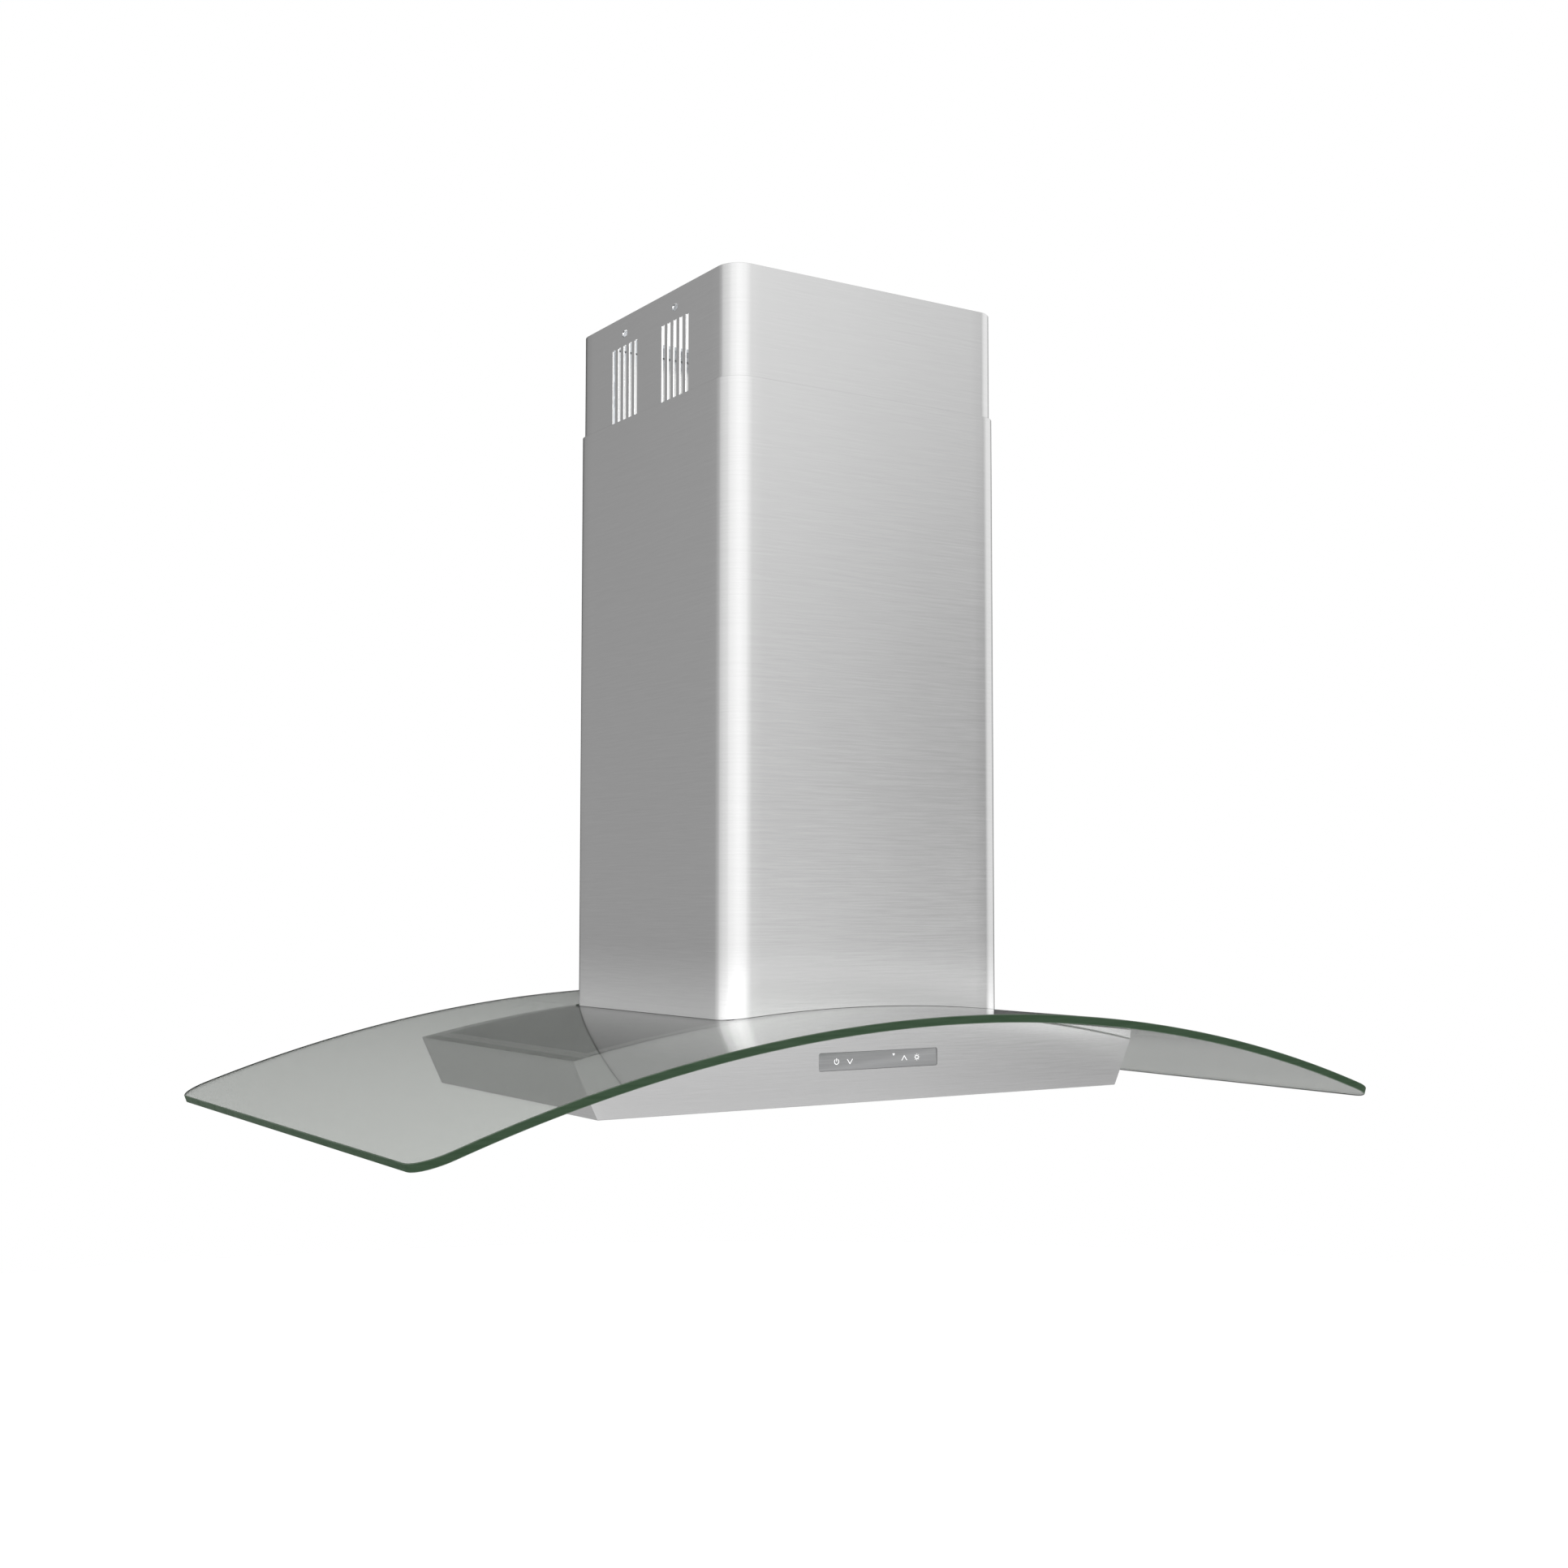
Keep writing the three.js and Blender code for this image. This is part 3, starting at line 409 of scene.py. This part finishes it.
def make_glass():
    ch = 0.7
    verts, faces, idx = [], [], []

    def add(x, y, dep):
        verts.append(on_glass(x, y, dep))
        return len(verts) - 1

    def stations(inset, hole_out):
        """columns (x, outer y, hole y or None) from left to right; outline moved in by inset, hole edge moved out by hole_out"""
        s = []
        n = 12
        for i in range(n + 1):
            t = math.pi - (math.pi / 2) * i / n
            s.append((-(GX - GC) + (GC - inset) * math.cos(t), GY - GC + (GC - inset) * math.sin(t), None))
        x0, x1 = -(GX - GC), -(CX + hole_out)
        k = 34
        for i in range(1, k):
            s.append((x0 + (x1 - x0) * i / k, GY - inset, None))
        m = 5
        rr = CR + hole_out
        for i in range(m + 1):
            t = math.pi - (math.pi / 2) * i / m
            s.append((-(CX - CR) + rr * math.cos(t), GY - inset, CY - CR + rr * math.sin(t)))
        k2 = 26
        for i in range(1, k2):
            s.append((-(CX - CR) + 2 * (CX - CR) * i / k2, GY - inset, CY + hole_out))
        left = [(-x, y, h) for x, y, h in reversed(s[: 13 + 33 + 6])]
        return s + left

    for dep, sign in ((0.0, 1), (GT, -1)):
        st = stations(ch, ch)
        cols = []
        for x, yo, yh in st:
            c = [add(x, -yo, dep), add(x, yo, dep)]
            if yh is not None:
                c += [add(x, -yh, dep), add(x, yh, dep)]
            cols.append(c)
        for a, b in zip(cols, cols[1:]):
            if len(a) == 2 and len(b) == 2:
                faces.append([a[0], b[0], b[1], a[1]])
            elif len(a) == 4 and len(b) == 4:
                faces.append([a[0], b[0], b[2], a[2]])
                faces.append([a[3], b[3], b[1], a[1]])
            elif len(a) == 2:
                faces.append([a[0], b[0], b[2], b[3], b[1], a[1]])
            else:
                faces.append([a[0], b[0], b[1], a[1], a[3], a[2]])
            while len(idx) < len(faces):
                idx.append(0)
        if dep == 0.0:
            top = cols
        else:
            bot = cols
    # walls: from the inset ring on top, over the chamfer, down the edge and back
    st_i, st_o = stations(ch, ch), stations(0, 0)
    outer_i = [(x, -y) for x, y, h in st_i] + [(x, y) for x, y, h in reversed(st_i)]
    outer_o = [(x, -y) for x, y, h in st_o] + [(x, y) for x, y, h in reversed(st_o)]
    hole_i = [(x, -h) for x, y, h in st_i if h is not None] + [(x, h) for x, y, h in reversed(st_i) if h is not None]
    hole_o = [(x, -h) for x, y, h in st_o if h is not None] + [(x, h) for x, y, h in reversed(st_o) if h is not None]
    for ri, ro in ((outer_i, outer_o), (hole_i, hole_o)):
        rings = [[add(x, y, 0) for x, y in ri], [add(x, y, ch) for x, y in ro], [add(x, y, GT - ch) for x, y in ro], [add(x, y, GT) for x, y in ri]]
        for k in range(3):
            A, B = rings[k], rings[k + 1]
            for i in range(len(A)):
                j = (i + 1) % len(A)
                faces.append([A[i], A[j], B[j], B[i]])
                idx.append(1 if k == 1 else 2)
    o = obj("glass_pane", verts, faces, [GLASS, EDGE, ARRIS], idx)
    for p in o.data.polygons:
        p.use_smooth = True
    o.data.set_sharp_from_angle(angle=math.radians(30))
    return o


put(make_glass(), "hood", "glass", "canopy_glass")

# ------------------------------------------------------------------ duct covers
LX, LY, LR, LTOP = 164.2, 162.1, 25.5, 689.6
UX, UY, UR = LX - 2.5, LY - 2.5, LR - 2.5
SH = 1.2


def dense(hx, hy, rad, step):
    """rounded outline with points along the front and back as well, so that a curved foot can follow them"""
    p = []
    c = rounded(hx, hy, rad, 14)
    for i, a in enumerate(c):
        b = c[(i + 1) % len(c)]
        p.append(a)
        dist = math.hypot(a[0] - b[0], a[1] - b[1])
        if dist > 3 * step:
            k = int(dist / step)
            p += [(a[0] + (b[0] - a[0]) * j / k, a[1] + (b[1] - a[1]) * j / k) for j in range(1, k)]
    return p


def tube(name, hx, hy, rad, foot, top, mats):
    """sheet-metal sleeve with its edges eased; foot gives the height of the lower edge at x"""
    e = 0.25
    out = dense(hx, hy, rad, 12)
    mid = dense(hx - e, hy - e, rad - e, 12)
    mid2 = dense(hx - SH + e, hy - SH + e, rad - SH + e, 12)
    inn = dense(hx - SH, hy - SH, rad - SH, 12)
    n = len(out)
    rings = [
        (out, lambda x: foot(x) + e), (out, lambda x: top - e), (mid, lambda x: top), (mid2, lambda x: top),
        (inn, lambda x: top - e), (inn, lambda x: foot(x) + e), (mid2, foot), (mid, foot),
    ]
    verts, faces = [], []
    for pts, z in rings:
        verts += [W(x, y, z(x)) for x, y in pts]
    for k in range(len(rings)):
        a, b = k * n, ((k + 1) % len(rings)) * n
        for i in range(n):
            j = (i + 1) % n
            faces.append([a + i, a + j, b + j, b + i])
    return obj(name, verts, faces, mats, smooth=30)


put(tube("lower_cover_sleeve", LX, LY, LR, lambda x: gz(x) + 0.03, LTOP, [STEEL_LOWER_PAINTED_BOUNCE]), "hood", "brushed_stainless", "lower_duct_cover")

upper = tube("upper_cover_sleeve", UX, UY, UR, lambda x: 299.4, TOP * 1000 - 0.2, [STEEL])


def prism(outline, x0, x1, verts, faces):
    """outline in (y, z), made into a closed prism along X and added to verts and faces"""
    b = len(verts)
    n = len(outline)
    verts += [W(x0, y, z) for y, z in outline] + [W(x1, y, z) for y, z in outline]
    faces.append(list(range(b, b + n))[::-1])
    faces.append(list(range(b + n, b + 2 * n)))
    for i in range(n):
        j = (i + 1) % n
        faces.append([b + i, b + j, b + n + j, b + n + i])


cv, cf = [], []
for side in (-1, 1):
    a, b = sorted((side * (UX - 6), side * (UX + 6)))
    for g in (52.7, -52.7):
        for i in range(5):
            y = g + (i - 2) * 12.0
            prism([(y + p, (768.5 + 668.5) / 2 + q) for p, q in rounded(2.95, 50.0, 0.8, 3)], a, b, cv, cf)
        prism([(g + p, 781 + q) for p, q in rounded(5.4, 3.3, 3.28, 8)], a, b, cv, cf)
cutter = obj("cutter", cv, cf, [])
cut(upper, cutter)
for p in upper.data.polygons:
    p.use_smooth = True
upper.data.set_sharp_from_angle(angle=math.radians(30))
put(upper, "upper_cover", "brushed_stainless", "upper_duct_cover")

# ------------------------------------------------------------------ body
BY, BX0, BX1, BT = 172.0, 303.7, 326.5, 1.2
OFF = GT + 0.45


def make_body():
    verts, faces = [], []
    zt = gz(BX1, OFF)
    xs = [-BX1 + 2 * BX1 * i / 60 for i in range(61)]

    def x_at(i, z, ztop):
        # a column leans with the side walls: x shrinks towards the bottom edge
        return xs[i] / BX1 * (BX0 + (BX1 - BX0) * min(1.0, z / zt))

    def add(x, y, z):
        verts.append(W(x, y, z))
        return len(verts) - 1

    tops = {}
    for sy in (-1, 1):
        tops[sy] = [add(x, sy * BY, gz(x, OFF)) for x in xs]
    bots = {sy: [add(x / BX1 * BX0, sy * BY, 0) for x in xs] for sy in (-1, 1)}
    for sy in (-1, 1):
        for i in range(60):
            faces.append([bots[sy][i], bots[sy][i + 1], tops[sy][i + 1], tops[sy][i]])
    for i in (0, 60):
        faces.append([bots[-1][i], tops[-1][i], tops[1][i], bots[1][i]])
    for i in range(60):
        faces.append([tops[-1][i], tops[-1][i + 1], tops[1][i + 1], tops[1][i]])
        faces.append([bots[-1][i], bots[-1][i + 1], bots[1][i + 1], bots[1][i]])
    # the top faces take the painted shade material
    o = obj("body_casing", verts, faces, [STEEL_BODY_PAINTED_SHADE, BODY_TOP_PAINTED_SHADE], [0] * 122 + [1, 0] * 60)
    bevel(o, 0.0007, 2, 25)
    apply_mods(o)
    # hollow it: the inner skin is the same form, 1.2 mm inside
    s = o.modifiers.new("s", "SOLIDIFY")
    s.thickness = BT * mm
    s.offset = -1
    s.use_even_offset = True
    bpy.context.view_layer.update()
    apply_mods(o)
    cv, cf = [], []

    def zprism(outline, z0, z1):
        b = len(cv)
        n = len(outline)
        cv.extend([W(x, y, z0) for x, y in outline] + [W(x, y, z1) for x, y in outline])
        cf.append(list(range(b, b + n))[::-1])
        cf.append(list(range(b + n, b + 2 * n)))
        for i in range(n):
            j = (i + 1) % n
            cf.append([b + i, b + j, b + n + j, b + n + i])

    zprism(rounded(BX0 - 10, BY - 10, 2.0, 4), -8, 6)
    zprism(rounded(CX - 2, CY - 2, 4.0, 6), 55, 130)
    b = len(cv)
    w = [(x, (31.3 + 48.5) / 2 + z) for x, z in rounded(70.06, (48.5 - 31.3) / 2 + 0.06, 2.05, 6)]
    n = len(w)
    cv.extend([W(x, -BY - 6, z) for x, z in w] + [W(x, -BY + 6, z) for x, z in w])
    cf.append(list(range(b, b + n))[::-1])
    cf.append(list(range(b + n, b + 2 * n)))
    for i in range(n):
        j = (i + 1) % n
        cf.append([b + i, b + j, b + n + j, b + n + i])
    cut(o, obj("cutter", cv, cf, []))
    for p in o.data.polygons:
        p.use_smooth = True
    o.data.set_sharp_from_angle(angle=math.radians(28))
    wn_ = o.modifiers.new("n", "WEIGHTED_NORMAL")
    wn_.keep_sharp, wn_.weight, wn_.mode = True, 100, "FACE_AREA"
    bpy.context.view_layer.update()
    apply_mods(o)
    return o


put(make_body(), "hood", "brushed_stainless", "body_shell")


# ------------------------------------------------------------------ control strip
def plate(name, outline, y0, y1, mats, ease=0.2, body=None):
    """flat plate facing -Y from an (x, z) outline, its front edge eased by ease; y0 is the front face"""
    n = len(outline)
    cx = sum(p[0] for p in outline) / n
    cz = sum(p[1] for p in outline) / n

    def inset(p, e):
        dx, dz = p[0] - cx, p[1] - cz
        return (p[0] - e * (1 if dx > 0 else -1) * min(1, abs(dx) / 2), p[1] - e * (1 if dz > 0 else -1) * min(1, abs(dz) / 2))

    verts = [W(*[(q := inset(p, ease))[0], y0, q[1]]) for p in outline]
    verts += [W(p[0], y0 + ease, p[1]) for p in outline] + [W(p[0], y1, p[1]) for p in outline]
    faces = [list(range(n))[::-1], list(range(2 * n, 3 * n))]
    for k in (0, n):
        for i in range(n):
            j = (i + 1) % n
            faces.append([k + i, k + j, k + n + j, k + n + i])
    return obj(name, verts, faces, mats, smooth=40)


strip = plate("control_strip", [(x, 39.9 + z) for x, z in rounded(70, 8.6, 2.0, 6)], -BY + 0.12, -BY + 1.7, [STRIP], 0.25)
put(strip, "hood", "control_strip", "touch_panel")


def icon_mesh(name, cx, cz, strokes, w=0.62, tk=0.05):
    """symbol drawn from thin raised strokes; each stroke is a list of (x, z) points"""
    verts, faces = [], []
    y0, y1 = -BY + 0.12 - tk, -BY + 0.14
    for pts, closed in strokes:
        n = len(pts)
        left, right = [], []
        for i, p in enumerate(pts):
            a = pts[(i - 1) % n] if closed or i > 0 else p
            b = pts[(i + 1) % n] if closed or i < n - 1 else p
            t = Vector((b[0] - a[0], b[1] - a[1]))
            t.normalize()
            # keep the stroke's width through a corner
            k = 1.0
            if p not in (a, b):
                t1 = Vector((p[0] - a[0], p[1] - a[1])).normalized()
                k = 1.0 / max(0.5, abs(t1.dot(t)))
            nx, nz = -t[1] * w / 2 * k, t[0] * w / 2 * k
            left.append((p[0] + nx, p[1] + nz))
            right.append((p[0] - nx, p[1] - nz))
        base = len(verts)
        for q in left:
            verts.append(W(cx + q[0], y0, cz + q[1]))
        for q in right:
            verts.append(W(cx + q[0], y0, cz + q[1]))
        for q in left:
            verts.append(W(cx + q[0], y1, cz + q[1]))
        for q in right:
            verts.append(W(cx + q[0], y1, cz + q[1]))
        L0, R0, L1, R1 = base, base + n, base + 2 * n, base + 3 * n
        m = n if closed else n - 1
        for i in range(m):
            j = (i + 1) % n
            faces += [[L0 + i, L0 + j, R0 + j, R0 + i], [L1 + i, R1 + i, R1 + j, L1 + j], [L0 + i, L1 + i, L1 + j, L0 + j], [R0 + i, R0 + j, R1 + j, R1 + i]]
        if not closed:
            faces += [[L0, R0, R1, L1], [L0 + n - 1, L1 + n - 1, R1 + n - 1, R0 + n - 1]]
    return obj(name, verts, faces, [ICON])


def arc_pts(rad, a0, a1, n):
    return [(rad * math.cos(math.radians(a0 + (a1 - a0) * i / n)), rad * math.sin(math.radians(a0 + (a1 - a0) * i / n))) for i in range(n + 1)]


ring = lambda rad, n=20: (arc_pts(rad, 0, 360, n)[:-1], True)
ICONS = [
    ("symbol_power", -49.7, 39.9, [(arc_pts(2.5, 125, 415, 20), False), ([(0, 0.2), (0, 3.2)], False)]),
    ("symbol_down", -34.3, 39.6, [([(-3.1, 2.1), (0, -2.3), (3.1, 2.1)], False)]),
    ("symbol_timer", 17.2, 43.9, [([(-1.1, 0.6), (1.1, 0.6), (0, -0.9)], True)]),
    ("symbol_up", 30.0, 39.8, [([(-3.1, -2.1), (0, 2.3), (3.1, -2.1)], False)]),
    ("symbol_lamp", 45.2, 40.2, [ring(1.7, 16)] + [([(2.45 * math.cos(a), 2.45 * math.sin(a)), (3.2 * math.cos(a), 3.2 * math.sin(a))], False) for a in [math.pi / 4 * k for k in range(8)]]),
]
for nm, x, z, st in ICONS:
    put(icon_mesh(nm, x, z, st), "hood", "control_strip")


# ------------------------------------------------------------------ lamps
def lathe(name, prof, x, y, seg, mats, smooth=35):
    """profile of (radius, z) turned about the vertical through (x, y); it starts and ends on the axis or closes on itself"""
    verts, faces = [], []
    closed = prof[0] == prof[-1]
    pr = prof[:-1] if closed else prof
    rows = []
    for rad, z in pr:
        if rad < 1e-6:
            verts.append(W(x, y, z))
            rows.append([len(verts) - 1] * seg)
        else:
            row = []
            for i in range(seg):
                a = 2 * math.pi * i / seg
                verts.append(W(x + rad * math.cos(a), y + rad * math.sin(a), z))
                row.append(len(verts) - 1)
            rows.append(row)
    pairs = list(zip(rows, rows[1:])) + ([(rows[-1], rows[0])] if closed else [])
    for A, B in pairs:
        for i in range(seg):
            j = (i + 1) % seg
            f = []
            for k in (A[i], A[j], B[j], B[i]):
                if k not in f:
                    f.append(k)
            if len(f) > 2:
                faces.append(f)
    return obj(name, verts, faces, mats, smooth=smooth)


k = 1
for sx, sy in ((-1, -1), (1, -1), (-1, 1), (1, 1)):
    x, y = sx * 263.5, sy * 108.0
    prof = [(19.4, -0.45), (19.9, -0.7), (26.3, -0.7), (26.9, -0.45), (27.2, 0.05), (27.2, 1.2), (23.6, 1.2), (23.6, 16.6), (23.0, 17.6), (17, 21), (0, 21), (0, 18.5), (15, 18.5), (19.4, 14), (19.4, -0.45)]
    put(lathe(f"lamp_can_{k}", prof, x, y, 56, [BEZEL]), "hood", "lamp_bezel", f"lamp_housing_{k}")
    lens = [(0, 0.35), (9, 0.3), (17.6, 0.25), (18.6, 0.55), (19, 1.1), (19, 2.6), (0, 2.6)]
    put(lathe(f"lamp_glass_{k}", lens, x, y, 56, [LENS]), "hood", "lamp_diffuser", f"lamp_lens_{k}")
    k += 1

# ------------------------------------------------------------------ materials of the CAD nodes that stay
STAY = {
    "ceiling_plate": ZINC, "support_tray": ZINC, "blower_box": ZINC, "duct_collar": ZINC, "damper_flap_left": ZINC,
    "damper_flap_right": ZINC, "junction_box": ZINC, "junction_box_lid": ZINC, "motor_bracket": ZINC,
    "damper_rod": BOLT, "motor_shaft": BOLT, "bottom_panel": STEEL_UNDER, "baffle_filter_left": STEEL_FILTER,
    "baffle_filter_right": STEEL_FILTER, "filter_latch_left": BOLT, "filter_latch_right": BOLT, "glass_bonding_strip": SILICONE_PAINTED_LIGHT,
    "blower_scroll": SCROLL, "blower_wheel": SCROLL, "motor_body": MOTOR, "run_capacitor": WHITE, "lamp_driver": WHITE,
    "control_board": BOARD, "supply_gland": BLACK,
}
for c in ("fl", "fr", "bl", "br"):
    STAY["upper_post_" + c] = ZINC
    STAY["lower_post_" + c] = ZINC
    STAY["clamp_bolt_" + c] = BOLT
for i in range(1, 5):
    STAY[f"panel_screw_{i}"] = BOLT
for name, m in STAY.items():
    o = nodes[name]
    o.data.materials.clear()
    o.data.materials.append(m)

# ------------------------------------------------------------------ floor, light
fz = -TOP - 1.75
fm = N("floor_pale")
fm.set(Base_Color=fm.ramp(fm.noise(fm.co, 3.0, 3.0), [(0.3, (0.93, 0.93, 0.93)), (0.7, (0.95, 0.95, 0.95))]), Roughness=0.9)
fm.p.inputs["Emission Color"].default_value = (1, 1, 1, 1)
fm.p.inputs["Emission Strength"].default_value = 0.45
floor = lathe("floor", [(0, (fz + TOP) * 1000), (9000, (fz + TOP) * 1000)], 0, 0, 64, [fm.mat], smooth=30)
floor.visible_glossy = False
floor.visible_transmission = False

world = bpy.data.worlds.new("studio")
scene.world = world
world.use_nodes = True
wt = world.node_tree
wt.nodes.clear()


def wn(kind, **kw):
    n = wt.nodes.new(kind)
    for a, b in kw.items():
        setattr(n, a, b)
    return n


def wmath(op, a, b=None):
    m = wn("ShaderNodeMath", operation=op)
    for i, v in enumerate((a, b)):
        if v is None:
            continue
        if isinstance(v, (int, float)):
            m.inputs[i].default_value = v
        else:
            wt.links.new(v, m.inputs[i])
    return m.outputs[0]


def wramp(fac, stops, top):
    """brightness round the room: stops of (azimuth in degrees, value); 0 is in front, +90 to the right"""
    c = wn("ShaderNodeValToRGB")
    c.color_ramp.interpolation = "EASE"
    e = c.color_ramp.elements
    while len(e) < len(stops):
        e.new(0.5)
    for el, (az, v) in zip(e, stops):
        el.position = (az + 180) / 360
        el.color = (v / top, v / top, v / top, 1)
    wt.links.new(fac, c.inputs[0])
    return c.outputs[0]


MAXE = 2.2
geo = wn("ShaderNodeTexCoord")
sep = wn("ShaderNodeSeparateXYZ")
wt.links.new(geo.outputs["Generated"], sep.inputs[0])
az = wmath("ARCTAN2", sep.outputs[0], wmath("MULTIPLY", sep.outputs[1], -1.0))
azf = wmath("ADD", wmath("DIVIDE", az, 2 * math.pi), 0.5)
elv = wmath("MULTIPLY", wmath("ARCSINE", sep.outputs[2]), 180 / math.pi)
LOWER = [(-180, .55), (-149, .46), (-124, .9), (-95, 1.45), (-30, 1.7), (5, 1.75), (28, 1.62), (37, 1.95), (44, 1.45), (56, .95), (75, 1.1), (100, .8), (118, .22), (150, .18), (165, .3), (180, .6)]
MID = [(-180, .40), (-149, .46), (-128, .62), (-110, .97), (-88, 1.1), (-60, 1.42), (-30, 1.56), (0, 1.42), (15, 1.10), (31, .83), (40, .45), (46, .42), (55, .85), (67, 1.1), (98, 1.1), (112, .7), (125, .10)]
LOW2 = [(-180, .7), (-150, .70), (-120, .80), (-95, .95), (-45, 1.0), (5, 1.0), (40, 1.0), (60, .9), (80, .8), (100, .6), (118, .22), (150, .20), (166, .45), (180, .7)]
FAR = [(-180, .75), (-150, .72), (-90, .92), (-30, 1.0), (30, 1.0), (90, .85), (150, .68), (180, .75)]
UPPER = [(-168, .20), (-149, .49), (-128, .62), (-110, .97), (-88, 1.1), (-60, 1.42), (-30, 1.58), (0, 1.5), (15, 1.38), (31, 1.22), (40, .97), (47, .90), (56, 1.05), (67, 1.25), (98, 1.25), (112, .8), (130, .03)]


def mixf(fac, a, b):
    m = wn("ShaderNodeMix", data_type="RGBA")
    wt.links.new(fac, m.inputs[0])
    wt.links.new(a, m.inputs[6])
    wt.links.new(b, m.inputs[7])
    return m.outputs[2]


def smooth(v, a, b):
    m = wn("ShaderNodeMapRange", interpolation_type="SMOOTHSTEP")
    m.inputs[1].default_value, m.inputs[2].default_value = a, b
    wt.links.new(v, m.inputs[0])
    return m.outputs[0]


lowc, midc, upc = wramp(azf, LOWER, MAXE), wramp(azf, MID, MAXE), wramp(azf, UPPER, MAXE)
low2c, farc = wramp(azf, LOW2, MAXE), wramp(azf, FAR, MAXE)
col = mixf(smooth(elv, -11, -3), lowc, midc)
col = mixf(smooth(elv, 3, 20), col, upc)
col = mixf(smooth(elv, -10, -17), col, low2c)
col = mixf(smooth(elv, -28, -42), col, farc)
col = mixf(smooth(elv, 32, 48), col, farc)
bg = wn("ShaderNodeBackground")
wt.links.new(col, bg.inputs[0])
bg.inputs[1].default_value = MAXE
white = wn("ShaderNodeBackground")
white.inputs[0].default_value = (1, 1, 1, 1)
white.inputs[1].default_value = 1.0
lp = wn("ShaderNodeLightPath")
mx = wn("ShaderNodeMixShader")
backdrop = wmath("MULTIPLY", lp.outputs["Is Transmission Ray"], smooth(elv, -22, -12))
wt.links.new(wmath("MAXIMUM", lp.outputs["Is Camera Ray"], backdrop), mx.inputs[0])
wt.links.new(bg.outputs[0], mx.inputs[1])
wt.links.new(white.outputs[0], mx.inputs[2])
wo = wn("ShaderNodeOutputWorld")
wt.links.new(mx.outputs[0], wo.inputs[0])

# a soft fill inside the duct covers
ld = bpy.data.lights.new("fill_inside", "AREA")
ld.shape, ld.size, ld.size_y, ld.energy = "RECTANGLE", 0.26, 0.34, 0.85
lo = bpy.data.objects.new("fill_inside", ld)
lo.location = W(0, -150, 610)
lo.rotation_euler = (math.radians(90), 0, 0)
lo.visible_camera = False
scene.collection.objects.link(lo)

# ------------------------------------------------------------------ end
bpy.context.view_layer.update()
